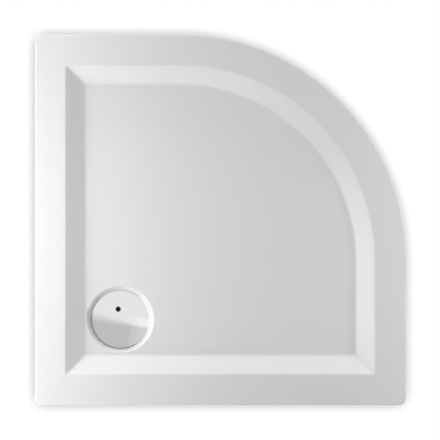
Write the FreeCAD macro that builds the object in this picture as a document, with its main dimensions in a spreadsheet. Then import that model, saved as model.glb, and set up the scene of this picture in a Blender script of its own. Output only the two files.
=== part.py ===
import FreeCAD
import Part
import Sketcher
import math
import os
import re

from FreeCAD import Placement, Rotation, Vector

# Quadrant shower tray: a formed acrylic shell on five screw legs, with its waste trap fitted.
# Millimetres and degrees. +Z is up and z = 0 is the floor that the rubber pads stand on. The origin is
# under the middle of the square that the tray fills. The curved side faces +X +Y, the two wall sides
# are at -X and -Y, and the waste is in the corner between them.

SIZES = {
    # formed shell
    "tray_width": 900.0,
    "curve_radius": 550.0,
    "corner_radius": 15.0,
    "rim_height": 150.0,
    "skirt_depth": 60.0,
    "shell_wall": 4.0,
    "rim_width": 74.0,
    "wall_run": 46.5,
    "basin_depth": 30.0,
    "floor_fall": 0.45,
    "basin_corner_radius": 8.0,
    "rim_edge_radius": 6.0,
    "rim_inner_radius": 10.0,
    "floor_edge_radius": 10.0,
    # recess and hole for the waste, measured from the foot of the two straight walls
    "waste_inset": 86.5,
    "waste_hole_radius": 45.0,
    "recess_flat_radius": 73.0,
    "recess_run": 8.5,
    "recess_depth": 10.0,
    "recess_edge_radius": 2.0,
    # backing, board and rim blocks
    "backing_thickness": 2.5,
    "backing_inset": 4.5,
    "board_thickness": 16.0,
    "board_inset": 9.5,
    "board_cutout_radius": 118.0,
    "block_side": 62.0,
    "block_height": 22.0,
    "block_gap": 4.0,
    # legs
    "plate_side": 60.0,
    "plate_thickness": 2.5,
    "plate_corner_radius": 6.0,
    "plate_hole_pitch": 44.0,
    "plate_hole_radius": 2.75,
    "weld_nut_flats": 19.0,
    "weld_nut_height": 10.0,
    "lock_nut_flats": 19.0,
    "lock_nut_height": 7.0,
    "nut_chamfer": 1.2,
    "nut_bevel_slope": 0.5,
    "stud_radius": 6.0,
    "stud_reach": 6.5,
    "stud_hole_radius": 7.0,
    "stud_chamfer": 1.0,
    "thread_clearance": 0.05,
    "collar_flats": 17.0,
    "collar_height": 8.0,
    "pin_radius": 5.0,
    "foot_radius": 25.0,
    "foot_rim": 6.0,
    "foot_neck_radius": 13.0,
    "foot_shoulder": 16.0,
    "foot_height": 23.0,
    "foot_web": 5.0,
    "pad_radius": 22.5,
    "pad_thickness": 3.0,
    "pad_recess": 2.0,
    "seat_clearance": 0.3,
    "screw_radius": 2.2,
    "screw_length": 14.0,
    "screw_head_radius": 4.4,
    "screw_head_height": 2.6,
    "screw_head_flat": 2.64,
    "screw_head_bevel": 1.17,
    "screw_clearance": 0.05,
    "pilot_spare": 1.0,
    "middle_leg": 0.0,
    # waste trap
    "flange_gasket_thickness": 1.5,
    "body_gasket_thickness": 3.0,
    "gasket_margin": 1.0,
    "clamp_radius": 57.0,
    "clamp_thickness": 3.0,
    "clamp_bevel": 1.5,
    "clamp_bore_radius": 38.5,
    "clamp_spigot_length": 17.0,
    "neck_radius": 43.0,
    "neck_clearance": 0.1,
    "ledge_radius": 42.2,
    "ledge_depth": 1.5,
    "trap_flange_radius": 60.0,
    "trap_flange_thickness": 6.0,
    "trap_depth": 90.0,
    "trap_radius": 51.0,
    "trap_base_radius": 46.0,
    "trap_wall": 3.0,
    "trap_base_edge": 7.0,
    "shelf_drop": 12.3,
    "shelf_thickness": 3.0,
    "shelf_bore_radius": 30.0,
    "outlet_drop": 34.3,
    "outlet_bore_radius": 17.0,
    "socket_radius": 20.3,
    "socket_depth": 30.0,
    "outlet_radius": 24.5,
    "outlet_reach": 92.0,
    "outlet_seal_thickness": 4.0,
    "outlet_nut_radius": 30.0,
    "outlet_nut_cover": 18.0,
    "outlet_nut_lip": 4.0,
    "grip_radius": 3.0,
    "grip_depth": 2.0,
    "grip_count": 14.0,
    # insert that lifts out
    "dip_flange_radius": 37.8,
    "dip_flange_thickness": 3.0,
    "dip_bore_radius": 24.5,
    "dip_wall": 2.0,
    "dip_spigot_length": 5.0,
    "dip_gap": 8.0,
    "oring_cord_radius": 1.2,
    "strainer_rim_thickness": 1.8,
    "strainer_cup_radius": 36.0,
    "strainer_cup_depth": 9.0,
    "strainer_wall": 1.8,
    "strainer_hole_radius": 3.0,
    "strainer_ring_radius": 25.0,
    "strainer_ring_count": 16.0,
    "strainer_inner_radius": 14.0,
    "strainer_inner_count": 8.0,
    "strainer_knob_radius": 6.0,
    # cover
    "cover_radius": 73.0,
    "cover_wall": 1.5,
    "cover_crown": 7.5,
    "cover_edge": 1.8,
    "cover_skirt": 0.2,
    "cover_proud": 1.2,
    "cover_post_radius": 3.0,
    "cover_post_ring": 50.0,
    "cover_post_count": 3.0,
    "lift_hole_radius": 5.8,
    "lift_hole_x": -6.0,
    "lift_hole_y": 25.0,
}

WORKED = {
    # plan
    "half_width": "tray_width / 2",
    "floor_inset": "rim_width + wall_run",
    "hollow_corner": "corner_radius - shell_wall",
    "under_offset": "shell_wall * tan(atan(basin_depth / wall_run) / 2)",
    "rim_under_inset": "rim_width - under_offset",
    "floor_under_inset": "floor_inset - under_offset",
    "under_corner": "basin_corner_radius + under_offset",
    "backing_outline": "floor_inset + backing_inset",
    "board_outline": "floor_inset + board_inset",
    "waste_place": "floor_inset + waste_inset - half_width",
    "corner_leg": "half_width - shell_wall - block_gap - block_side / 2",
    "curve_leg": "half_width - curve_radius + (curve_radius - half_width + corner_leg) / sqrt(2)",
    # heights of the shell
    "rim_under_z": "rim_height - shell_wall",
    "skirt_z": "rim_height - skirt_depth",
    "floor_z": "rim_height - basin_depth",
    "floor_under_z": "floor_z - shell_wall",
    "waste_floor_z": "floor_z + waste_place * sqrt(2) * tan(floor_fall)",
    "recess_z": "waste_floor_z - recess_depth",
    "recess_under_z": "recess_z - shell_wall",
    "recess_cut_z": "waste_floor_z + shell_wall",
    "recess_cut_radius": "recess_flat_radius + recess_run * (recess_cut_z - recess_z) / recess_depth",
    "recess_offset": "shell_wall * tan(atan(recess_depth / recess_run) / 2)",
    "hole_end_z": "recess_under_z - shell_wall",
    # heights of what is bonded under it
    "backing_reach": "half_width - backing_outline",
    "board_top_z": "floor_under_z - backing_reach * sqrt(2) * tan(floor_fall) - backing_thickness",
    "board_under_z": "board_top_z - board_thickness",
    "block_under_z": "rim_under_z - block_height",
    # legs
    "thread_bore": "stud_radius + thread_clearance",
    "pilot_radius": "screw_radius + screw_clearance",
    "pilot_depth": "screw_length + pilot_spare",
    "pin_bore": "pin_radius + thread_clearance",
    "pin_z": "pad_thickness + foot_web",
    "collar_top_z": "foot_height + collar_height",
    "pad_seat_radius": "pad_radius + seat_clearance",
    "foot_lip_z": "pad_thickness - pad_recess",
    "screw_place": "plate_hole_pitch / 2",
    # heights of the trap
    "clamp_z": "recess_z + flange_gasket_thickness",
    "clamp_top_z": "clamp_z + clamp_thickness",
    "ledge_z": "clamp_top_z - ledge_depth",
    "spigot_z": "clamp_z - clamp_spigot_length",
    "spigot_radius": "neck_radius - neck_clearance",
    "trap_top_z": "recess_under_z - body_gasket_thickness",
    "trap_flange_z": "trap_top_z - trap_flange_thickness",
    "trap_z": "trap_top_z - trap_depth",
    "pot_z": "trap_z + trap_wall",
    "shelf_z": "trap_top_z - shelf_drop",
    "shelf_under_z": "shelf_z - shelf_thickness",
    "outlet_z": "trap_top_z - outlet_drop",
    "grip_place": "outlet_nut_radius + grip_radius - grip_depth",
    "dip_radius": "dip_bore_radius + dip_wall",
    "dip_spigot_radius": "shelf_bore_radius - seat_clearance",
    "oring_radius": "dip_spigot_radius - oring_cord_radius",
    "oring_z": "shelf_z - dip_spigot_length / 2",
    "groove_radius": "oring_radius - oring_cord_radius - neck_clearance",
    "dip_top_z": "shelf_z + dip_flange_thickness",
    "dip_end_z": "pot_z + dip_gap",
    "strainer_top_z": "ledge_z + strainer_rim_thickness",
    "strainer_z": "ledge_z - strainer_cup_depth",
    "strainer_rim_radius": "ledge_radius - seat_clearance",
    # heights of the cover
    "cover_top_z": "waste_floor_z + cover_proud",
    "cover_shoulder_z": "cover_top_z - cover_crown",
    "cover_skirt_z": "cover_shoulder_z - cover_edge - cover_skirt",
    "cover_inner_radius": "cover_radius - cover_wall",
    "cover_ceiling_z": "cover_top_z - cover_wall",
    "cover_inner_shoulder_z": "cover_shoulder_z - cover_wall",
    "cover_post_drop": "cover_crown * (cover_post_ring / cover_radius) ^ 2",
    "cover_post_top_z": "cover_ceiling_z - cover_post_drop + cover_wall / 2",
}

doc = FreeCAD.newDocument("QuadrantTray")


def make_sheet(name, cells):
    """Spreadsheet with one named cell in column B for each entry."""
    sheet = doc.addObject("Spreadsheet::Sheet", name)
    for row, (alias, content) in enumerate(cells.items(), start=1):
        sheet.set("A%d" % row, alias)
        sheet.set("B%d" % row, str(content))
        sheet.setAlias("B%d" % row, alias)
    return sheet


WORD = re.compile(r"[a-z]+(?:_[a-z]+)*")


def formula(text):
    """Expression in which every size is written with the name of its sheet."""
    def with_sheet(match):
        word = match.group()
        if word in SIZES:
            return "Sizes." + word
        if word in WORKED:
            return "Worked." + word
        return word
    return WORD.sub(with_sheet, text)


sizes = make_sheet("Sizes", SIZES)
worked = make_sheet("Worked", {name: "=" + formula(text) for name, text in WORKED.items()})
doc.recompute()


def size(alias):
    """Number in the named cell."""
    sheet = sizes if alias in SIZES else worked
    return float(sheet.get(alias))


def bind(target, path, text):
    """Ties a property or constraint to a formula of the sheets."""
    target.setExpression(path, formula(text))


# Sketches

def new_body(label):
    body = doc.addObject("PartDesign::Body", label)
    body.Label = label
    return body


def origin_plane(body, role):
    return next(item for item in body.Origin.OriginFeatures if item.Role == role)


def new_sketch(body, name, plane="XY_Plane"):
    sketch = body.newObject("Sketcher::SketchObject", name)
    sketch.AttachmentSupport = [(origin_plane(body, plane), "")]
    sketch.MapMode = "FlatFace"
    return sketch


def tie(sketch, name, text, *constraint):
    """Adds a named measure to the sketch and ties it to a formula."""
    index = sketch.addConstraint(Sketcher.Constraint(*constraint))
    sketch.renameConstraint(index, name)
    bind(sketch, "Constraints." + name, text)


def tilt_to_floor(sketch):
    """Tilts a level sketch so that it falls towards the waste as the tray's floor does."""
    sketch.AttachmentOffset = Placement(Vector(), Rotation(Vector(1, -1, 0), size("floor_fall")))
    bind(sketch, "AttachmentOffset.Rotation.Angle", "floor_fall")


def quadrant(body, name, inset, corner, height, tilted=False):
    """Plan outline of the tray drawn in by inset: three small corners and one large curve."""
    sketch = new_sketch(body, name)
    if tilted:
        tilt_to_floor(sketch)
    bind(sketch, "AttachmentOffset.Base.z", height)
    drawn_in = size(inset) if inset else 0.0
    side = size("half_width") - drawn_in
    curve = size("curve_radius") - drawn_in
    small = size(corner)
    inner = side - small
    middle = side - curve
    quarter = math.pi / 2
    up = Vector(0, 0, 1)

    def line(start, end):
        sketch.addGeometry(Part.LineSegment(Vector(*start), Vector(*end)))

    def arc(centre, radius, turn):
        circle = Part.Circle(Vector(*centre), up, radius)
        sketch.addGeometry(Part.ArcOfCircle(circle, turn * quarter, (turn + 1) * quarter))

    line((-inner, -side), (inner, -side))
    arc((inner, -inner), small, -1)
    line((side, -inner), (side, middle))
    arc((middle, middle), curve, 0)
    line((middle, side), (-inner, side))
    arc((-inner, inner), small, 1)
    line((-side, inner), (-side, -inner))
    arc((-inner, -inner), small, 2)
    edge_count = 8
    for edge in range(edge_count):
        following = (edge + 1) % edge_count
        sketch.addConstraint(Sketcher.Constraint("Tangent", edge, 2, following, 1))
    for kind, edge in (("Horizontal", 0), ("Vertical", 2), ("Horizontal", 4), ("Vertical", 6)):
        sketch.addConstraint(Sketcher.Constraint(kind, edge))
    less = " - " + inset if inset else ""
    tie(sketch, "front", "half_width" + less, "DistanceY", 0, 1, -1, 1, side)
    tie(sketch, "right", "half_width" + less, "DistanceX", -1, 1, 2, 1, side)
    tie(sketch, "top", "half_width" + less, "DistanceY", -1, 1, 4, 1, side)
    tie(sketch, "left", "half_width" + less, "DistanceX", 6, 1, -1, 1, side)
    tie(sketch, "curve", "curve_radius" + less, "Radius", 3, curve)
    tie(sketch, "corner", corner, "Radius", 1, small)
    for edge in (5, 7):
        sketch.addConstraint(Sketcher.Constraint("Equal", 1, edge))
    return sketch


def polygon(body, name, points, plane="XZ_Plane", height=None):
    """Closed outline of straight lines through points, each given as a pair of formulas."""
    sketch = new_sketch(body, name, plane)
    if height:
        bind(sketch, "AttachmentOffset.Base.z", height)
    count = len(points)
    turn = 2 * math.pi / count
    start = [Vector(math.cos(i * turn), math.sin(i * turn), 0) for i in range(count)]
    for i in range(count):
        sketch.addGeometry(Part.LineSegment(start[i], start[(i + 1) % count]))
    for i in range(count):
        sketch.addConstraint(Sketcher.Constraint("Coincident", i, 2, (i + 1) % count, 1))
    for i, (across, along) in enumerate(points):
        tie(sketch, "across_%d" % i, across, "DistanceX", -1, 1, i, 1, start[i].x)
        tie(sketch, "along_%d" % i, along, "DistanceY", -1, 1, i, 1, start[i].y)
    return sketch


def circles(body, name, rounds, plane="XY_Plane", height=None):
    """Circles, each given as formulas for its centre and its radius."""
    sketch = new_sketch(body, name, plane)
    if height:
        bind(sketch, "AttachmentOffset.Base.z", height)
    up = Vector(0, 0, 1)
    for i, (across, along, radius) in enumerate(rounds):
        start = Vector(3 * i + 1, 1, 0)
        sketch.addGeometry(Part.Circle(start, up, 1))
        tie(sketch, "across_%d" % i, across, "DistanceX", -1, 1, i, 3, start.x)
        tie(sketch, "along_%d" % i, along, "DistanceY", -1, 1, i, 3, start.y)
        tie(sketch, "radius_%d" % i, radius, "Radius", i, 1)
    return sketch


def square_points(half):
    return [("-" + half, "-" + half), (half, "-" + half), (half, half), ("-" + half, half)]


def hexagon_points(flats):
    """Corners of a hexagon of the given width across flats."""
    return [
        ("%s / sqrt(3) * cos(%d)" % (flats, angle), "%s / sqrt(3) * sin(%d)" % (flats, angle))
        for angle in range(0, 360, 60)
    ]


# Features

LEAST_CUT = 0.1


def add(body, kind, name, sketch):
    feature = body.newObject("PartDesign::" + kind, name)
    feature.Profile = sketch
    return feature


def pad(body, sketch, name, length, reverse=False):
    feature = add(body, "Pad", name, sketch)
    bind(feature, "Length", length)
    feature.Reversed = reverse
    return feature


def cut_checked(feature):
    """Stops if a cut has taken nothing away."""
    doc.recompute()
    before = feature.BaseFeature.Shape.Volume
    if feature.Shape.Volume > before - LEAST_CUT:
        raise RuntimeError(feature.Name + " removes nothing")
    return feature


def pocket(body, sketch, name, length=None, reverse=False):
    feature = add(body, "Pocket", name, sketch)
    feature.Reversed = reverse
    if length:
        bind(feature, "Length", length)
    else:
        feature.Type = "ThroughAll"
    return cut_checked(feature)


def turned(body, sketch, name):
    feature = add(body, "Revolution", name, sketch)
    feature.ReferenceAxis = (sketch, ["V_Axis"])
    feature.Angle = 360
    return feature


def grooved(body, sketch, name):
    feature = add(body, "Groove", name, sketch)
    feature.ReferenceAxis = (sketch, ["V_Axis"])
    feature.Angle = 360
    return cut_checked(feature)


def cut_loft(body, name, first, second):
    feature = add(body, "SubtractiveLoft", name, first)
    feature.Sections = [second]
    feature.Ruled = True
    return cut_checked(feature)


def rounded(body, name, radius, wanted, kind="Fillet"):
    """Rounds or bevels the edges of the body that the test picks."""
    doc.recompute()
    base = body.Tip
    picked = ["Edge%d" % i for i, edge in enumerate(base.Shape.Edges, start=1) if wanted(edge)]
    if not picked:
        raise RuntimeError(name + " finds no edge")
    feature = body.newObject("PartDesign::" + kind, name)
    feature.Base = (base, picked)
    bind(feature, "Radius" if kind == "Fillet" else "Size", radius)
    return feature


def ring_pattern(body, feature, name, count):
    """Repeats a feature evenly round the axis that stands on its sketch's origin."""
    doc.recompute()
    pattern = body.newObject("PartDesign::PolarPattern", name)
    pattern.Originals = [feature]
    pattern.Axis = (feature.Profile[0], ["N_Axis"])
    pattern.Angle = 360
    bind(pattern, "Occurrences", count)
    body.Tip = pattern
    return pattern


# Tests that pick edges

NEAR = 0.01


def points_on(edge):
    first, last = edge.ParameterRange
    return [edge.valueAt(first + (last - first) * share) for share in (0.0, 0.3, 0.5, 0.8, 1.0)]


def level_at(height):
    return lambda edge: all(abs(point.z - height) < NEAR for point in points_on(edge))


def inside_plan(half):
    return lambda edge: all(max(abs(point.x), abs(point.y)) < half + NEAR for point in points_on(edge))


def on_floor(height):
    """Test for an edge that lies in the tilted plane through height over the origin."""
    slope = math.tan(math.radians(size("floor_fall"))) / math.sqrt(2)
    return lambda edge: all(
        abs(point.z - height - slope * (point.x + point.y)) < NEAR for point in points_on(edge)
    )


def round_waste(radius, slack):
    place = size("waste_place")
    return lambda edge: all(
        abs(math.hypot(point.x - place, point.y - place) - radius) < slack for point in points_on(edge)
    )


def both(first, second):
    return lambda edge: first(edge) and second(edge)


def upright(edge):
    box = edge.BoundBox
    return box.ZLength > NEAR and box.XLength < NEAR and box.YLength < NEAR


# The shell: a solid with the formed top, less the hollow under it

def at_waste(sketch):
    """Moves an upright sketch so that its vertical axis is the waste's."""
    bind(sketch, "AttachmentOffset.Base.x", "waste_place")
    bind(sketch, "AttachmentOffset.Base.z", "-waste_place")
    return sketch


def basin_cut(body, rim_inset, floor_inset, corner, top, bottom):
    """Cuts the basin: level at the rim and tilted at the floor, with sloping walls between."""
    rim = quadrant(body, body.Label + "_rim_line", rim_inset, corner, top)
    floor = quadrant(body, body.Label + "_floor_line", floor_inset, corner, bottom, tilted=True)
    cut_loft(body, body.Label + "_basin", rim, floor)


def make_formed_top():
    body = new_body("formed_top")
    pad(body, quadrant(body, "outer_line", None, "corner_radius", "skirt_z"), "outer_block", "skirt_depth")
    rounded(body, "rim_edge", "rim_edge_radius", level_at(size("rim_height")))
    basin_cut(body, "rim_width", "floor_inset", "basin_corner_radius", "rim_height", "floor_z")
    inner = inside_plan(size("half_width") - size("rim_width"))
    rounded(body, "rim_inner_edge", "rim_inner_radius", both(level_at(size("rim_height")), inner))
    rounded(body, "floor_edge", "floor_edge_radius", on_floor(size("floor_z")))
    outline = [
        ("0", "hole_end_z"),
        ("waste_hole_radius", "hole_end_z"),
        ("waste_hole_radius", "recess_z"),
        ("recess_flat_radius", "recess_z"),
        ("recess_cut_radius", "recess_cut_z"),
        ("0", "recess_cut_z"),
    ]
    grooved(body, at_waste(polygon(body, "recess_line", outline)), "recess")
    lip_radius = size("recess_flat_radius") + size("recess_run")
    lip = both(on_floor(size("floor_z")), round_waste(lip_radius, size("recess_edge_radius")))
    foot = both(level_at(size("recess_z")), round_waste(size("recess_flat_radius"), NEAR))
    rounded(body, "recess_lip", "recess_edge_radius", lip)
    rounded(body, "recess_foot", "recess_edge_radius", foot)
    return body


def make_hollow():
    body = new_body("shell_hollow")
    block = quadrant(body, "inner_line", "shell_wall", "hollow_corner", "skirt_z")
    pad(body, block, "inner_block", "skirt_depth - shell_wall")
    rounded(body, "hollow_edge", "rim_edge_radius - shell_wall", level_at(size("rim_under_z")))
    basin_cut(body, "rim_under_inset", "floor_under_inset", "under_corner", "rim_under_z", "floor_under_z")
    inner = inside_plan(size("half_width") - size("rim_under_inset"))
    rim = both(level_at(size("rim_under_z")), inner)
    rounded(body, "hollow_rim_edge", "rim_inner_radius - shell_wall", rim)
    floor = on_floor(size("floor_under_z"))
    rounded(body, "hollow_floor_edge", "floor_edge_radius + shell_wall", floor)
    outline = [
        ("0", "recess_under_z"),
        ("recess_flat_radius + recess_offset", "recess_under_z"),
        ("recess_cut_radius + recess_offset", "recess_cut_z - shell_wall"),
        ("0", "recess_cut_z - shell_wall"),
    ]
    grooved(body, at_waste(polygon(body, "hollow_recess_line", outline)), "hollow_recess")
    return body


def make_shell():
    shell = doc.addObject("Part::Cut", "tray_shell")
    shell.Base = make_formed_top()
    shell.Tool = make_hollow()
    return shell


# Backing, board and blocks

def waste_clearance(body, name, height):
    return circles(body, name, [("waste_place", "waste_place", "board_cutout_radius")], height=height)


def make_backing():
    body = new_body("resin_backing")
    outline = quadrant(body, "backing_line", "backing_outline", "basin_corner_radius", "board_top_z")
    pad(body, outline, "backing_block", "floor_z - board_top_z")
    slope = polygon(body, "backing_slope", square_points("half_width"), "XY_Plane")
    tilt_to_floor(slope)
    bind(slope, "AttachmentOffset.Base.z", "floor_under_z")
    pocket(body, slope, "backing_top", reverse=True)
    pocket(body, waste_clearance(body, "backing_waste_line", "floor_z"), "backing_cutout")
    return body


def screw_holes(radius):
    """Four holes at the corners of a leg plate's pattern."""
    return [
        (across + "screw_place", along + "screw_place", radius)
        for across in ("-", "") for along in ("-", "")
    ]


def make_board():
    body = new_body("base_board")
    outline = quadrant(body, "board_line", "board_outline", "basin_corner_radius", "board_under_z")
    pad(body, outline, "board_block", "board_thickness")
    pocket(body, waste_clearance(body, "board_waste_line", "board_top_z"), "board_cutout")
    stud = [("middle_leg", "middle_leg", "stud_hole_radius")]
    pocket(body, circles(body, "board_stud_line", stud, height="board_top_z"), "board_stud_hole")
    pilots = [
        ("middle_leg + (%s)" % across, "middle_leg + (%s)" % along, radius)
        for across, along, radius in screw_holes("pilot_radius")
    ]
    holes = circles(body, "board_pilot_line", pilots, height="board_under_z")
    pocket(body, holes, "board_pilots", "pilot_depth", reverse=True)
    return body


def place(item, across, along, angle=0.0):
    """Puts a piece that was made on the origin's vertical axis over its place on the floor."""
    item.Placement = Placement(Vector(), Rotation(Vector(0, 0, 1), angle))
    bind(item, "Placement.Base.x", across)
    bind(item, "Placement.Base.y", along)
    return item


def make_block(label, seat):
    body = new_body(label)
    outline = polygon(body, label + "_line", square_points("block_side / 2"), "XY_Plane", seat)
    pad(body, outline, label + "_timber", "block_height")
    stud = [("0", "0", "stud_hole_radius")]
    pocket(body, circles(body, label + "_stud_line", stud, height=seat), label + "_stud_hole", reverse=True)
    pilots = circles(body, label + "_pilot_line", screw_holes("pilot_radius"), height=seat)
    pocket(body, pilots, label + "_pilots", "pilot_depth", reverse=True)
    return body


# Legs, made on the origin's vertical axis

def bevel_nut(body, label, flats, low, high):
    """Turns the corners of a hexagon off at the ends given as height formulas."""
    reach = "%s / sqrt(3)" % flats
    inner = "%s - 2 * nut_chamfer" % reach
    outer = "%s + nut_chamfer" % reach
    drop = "3 * nut_chamfer * nut_bevel_slope"
    for end, face, sign in (("low", low, "+"), ("high", high, "-")):
        if face is None:
            continue
        outline = [
            (inner, face),
            (outer, "%s %s %s" % (face, sign, drop)),
            (outer, face),
        ]
        bevel = "%s_%s_bevel" % (label, end)
        grooved(body, polygon(body, bevel + "_line", outline), bevel)


def make_plate(label, seat):
    """Square plate whose upper face is at seat, with a hexagon nut welded under it."""
    body = new_body(label)
    under = seat + " - plate_thickness"
    nut = under + " - weld_nut_height"
    outline = polygon(body, label + "_line", square_points("plate_side / 2"), "XY_Plane", under)
    pad(body, outline, label + "_sheet", "plate_thickness")
    rounded(body, label + "_corners", "plate_corner_radius", upright)
    hexagon = polygon(body, label + "_nut_line", hexagon_points("weld_nut_flats"), "XY_Plane", nut)
    pad(body, hexagon, label + "_nut", "weld_nut_height")
    bevel_nut(body, label, "weld_nut_flats", nut, None)
    holes = screw_holes("plate_hole_radius") + [("0", "0", "thread_bore")]
    pocket(body, circles(body, label + "_hole_line", holes, height=seat), label + "_holes")
    return body


def make_lock_nut(label, seat):
    body = new_body(label)
    top = seat + " - plate_thickness - weld_nut_height"
    low = top + " - lock_nut_height"
    hexagon = polygon(body, label + "_line", hexagon_points("lock_nut_flats"), "XY_Plane", low)
    pad(body, hexagon, label + "_hexagon", "lock_nut_height")
    bevel_nut(body, label, "lock_nut_flats", low, top)
    bore = circles(body, label + "_bore_line", [("0", "0", "thread_bore")], height=top)
    pocket(body, bore, label + "_bore")
    return body


def make_stud(label, seat):
    """Plain pin in the foot, hexagon collar on top of the foot and a thread up through the plate."""
    body = new_body(label)
    pin = circles(body, label + "_pin_line", [("0", "0", "pin_radius")], height="pin_z")
    pad(body, pin, label + "_pin", "foot_height - pin_z")
    hexagon = hexagon_points("collar_flats")
    collar = polygon(body, label + "_collar_line", hexagon, "XY_Plane", "foot_height")
    pad(body, collar, label + "_collar", "collar_height")
    bevel_nut(body, label, "collar_flats", "foot_height", "collar_top_z")
    thread = circles(body, label + "_thread_line", [("0", "0", "stud_radius")], height="collar_top_z")
    pad(body, thread, label + "_thread", seat + " + stud_reach - collar_top_z")
    top = level_at(size(seat) + size("stud_reach"))
    rounded(body, label + "_end", "stud_chamfer", top, "Chamfer")
    return body


def make_foot(label):
    body = new_body(label)
    outline = [
        ("0", "pad_thickness"),
        ("pad_seat_radius", "pad_thickness"),
        ("pad_seat_radius", "foot_lip_z"),
        ("foot_radius", "foot_lip_z"),
        ("foot_radius", "foot_lip_z + foot_rim"),
        ("foot_neck_radius", "foot_shoulder"),
        ("foot_neck_radius", "foot_height"),
        ("pin_bore", "foot_height"),
        ("pin_bore", "pin_z"),
        ("0", "pin_z"),
    ]
    turned(body, polygon(body, label + "_line", outline), label + "_turned")
    return body


def make_pad(label):
    body = new_body(label)
    outline = [
        ("0", "0"),
        ("pad_radius", "0"),
        ("pad_radius", "pad_thickness"),
        ("0", "pad_thickness"),
    ]
    turned(body, polygon(body, label + "_line", outline), label + "_disc")
    return body


def make_screw(label, seat):
    """Pan-head screw from under a plate up into the timber."""
    body = new_body(label)
    head = seat + " - plate_thickness"
    outline = [
        ("0", head + " - screw_head_height"),
        ("screw_head_flat", head + " - screw_head_height"),
        ("screw_head_radius", head + " - screw_head_bevel"),
        ("screw_head_radius", head),
        ("screw_radius", head),
        ("screw_radius", seat + " + screw_length - 2 * screw_radius"),
        ("0", seat + " + screw_length"),
    ]
    turned(body, polygon(body, label + "_line", outline), label + "_turned")
    return body


# Name, place on the floor, turn about the vertical and the height of the seat of each leg
LEGS = (
    ("corner", "-corner_leg", "-corner_leg", 0.0, "block_under_z"),
    ("left", "-corner_leg", "corner_leg", 0.0, "block_under_z"),
    ("right", "corner_leg", "-corner_leg", 0.0, "block_under_z"),
    ("curve", "curve_leg", "curve_leg", 45.0, "block_under_z"),
    ("middle", "middle_leg", "middle_leg", 0.0, "board_under_z"),
)


def make_legs():
    """All pieces of the five legs, with the screws of all the plates in one group."""
    pieces = []
    screws = []
    for name, across, along, angle, seat in LEGS:
        made = [
            make_plate("plate_" + name, seat),
            make_lock_nut("lock_nut_" + name, seat),
            make_stud("stud_" + name, seat),
            make_foot("foot_" + name),
            make_pad("pad_" + name),
        ]
        if seat == "block_under_z":
            made.append(make_block("block_" + name, seat))
        for piece in made:
            place(piece, across, along, angle)
        pieces += made
        for corner, (x_text, y_text, _) in enumerate(screw_holes("pilot_radius")):
            screw = make_screw("screw_%s_%d" % (name, corner), seat)
            x_turned = "(%s) * cos(%g) - (%s) * sin(%g)" % (x_text, angle, y_text, angle)
            y_turned = "(%s) * sin(%g) + (%s) * cos(%g)" % (x_text, angle, y_text, angle)
            place(screw, across + " + " + x_turned, along + " + " + y_turned)
            screws.append(screw)
    group = doc.addObject("Part::Compound", "leg_screws")
    group.Links = screws
    return pieces + [group]


# Waste trap, made on the origin's vertical axis

def make_turned(label, outline):
    body = new_body(label)
    turned(body, polygon(body, label + "_line", outline), label + "_turned")
    return body


def ring_outline(inner, outer, low, high):
    return [(inner, low), (outer, low), (outer, high), (inner, high)]


def make_clamp_flange():
    return make_turned("clamp_flange", [
        ("clamp_bore_radius", "spigot_z"),
        ("spigot_radius", "spigot_z"),
        ("spigot_radius", "clamp_z"),
        ("clamp_radius", "clamp_z"),
        ("clamp_radius", "clamp_top_z - clamp_bevel"),
        ("clamp_radius - clamp_bevel", "clamp_top_z"),
        ("ledge_radius", "clamp_top_z"),
        ("ledge_radius", "ledge_z"),
        ("clamp_bore_radius", "ledge_z"),
    ])


def make_trap_body():
    """Pot with a clamping flange, a shelf for the dip tube and a pipe socket towards -Y."""
    body = make_turned("trap_body", [
        ("0", "trap_z"),
        ("trap_base_radius", "trap_z"),
        ("trap_radius", "trap_flange_z"),
        ("trap_flange_radius", "trap_flange_z"),
        ("trap_flange_radius", "trap_top_z"),
        ("0", "trap_top_z"),
    ])
    outlet = circles(body, "outlet_line", [("0", "outlet_z", "outlet_radius")], "XZ_Plane")
    pad(body, outlet, "outlet", "outlet_reach")
    rounded(body, "trap_base", "trap_base_edge", level_at(size("trap_z")))
    inside = [
        ("0", "pot_z"),
        ("trap_base_radius - trap_wall", "pot_z"),
        ("trap_radius - trap_wall", "shelf_under_z"),
        ("shelf_bore_radius", "shelf_under_z"),
        ("shelf_bore_radius", "shelf_z"),
        ("neck_radius", "shelf_z"),
        ("neck_radius", "trap_top_z"),
        ("0", "trap_top_z"),
    ]
    grooved(body, polygon(body, "pot_line", inside), "pot")
    way = circles(body, "outlet_way_line", [("0", "outlet_z", "outlet_bore_radius")], "XZ_Plane")
    pocket(body, way, "outlet_way", "outlet_reach", reverse=True)
    socket = circles(
        body, "socket_line", [("0", "outlet_z", "socket_radius")], "XZ_Plane", "outlet_reach - socket_depth"
    )
    pocket(body, socket, "socket", "socket_depth", reverse=True)
    return body


def turned_on_outlet(label, outline):
    """Piece turned about the outlet's axis, from distances off the axis and places along Y."""
    body = new_body(label)
    turned(body, polygon(body, label + "_line", outline, "XY_Plane", "outlet_z"), label + "_turned")
    return body


def make_outlet_seal():
    inner = "socket_radius + seat_clearance"
    outer = "outlet_radius - seat_clearance"
    end = "-outlet_reach - outlet_seal_thickness"
    return turned_on_outlet("outlet_seal", ring_outline(inner, outer, end, "-outlet_reach"))


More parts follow.
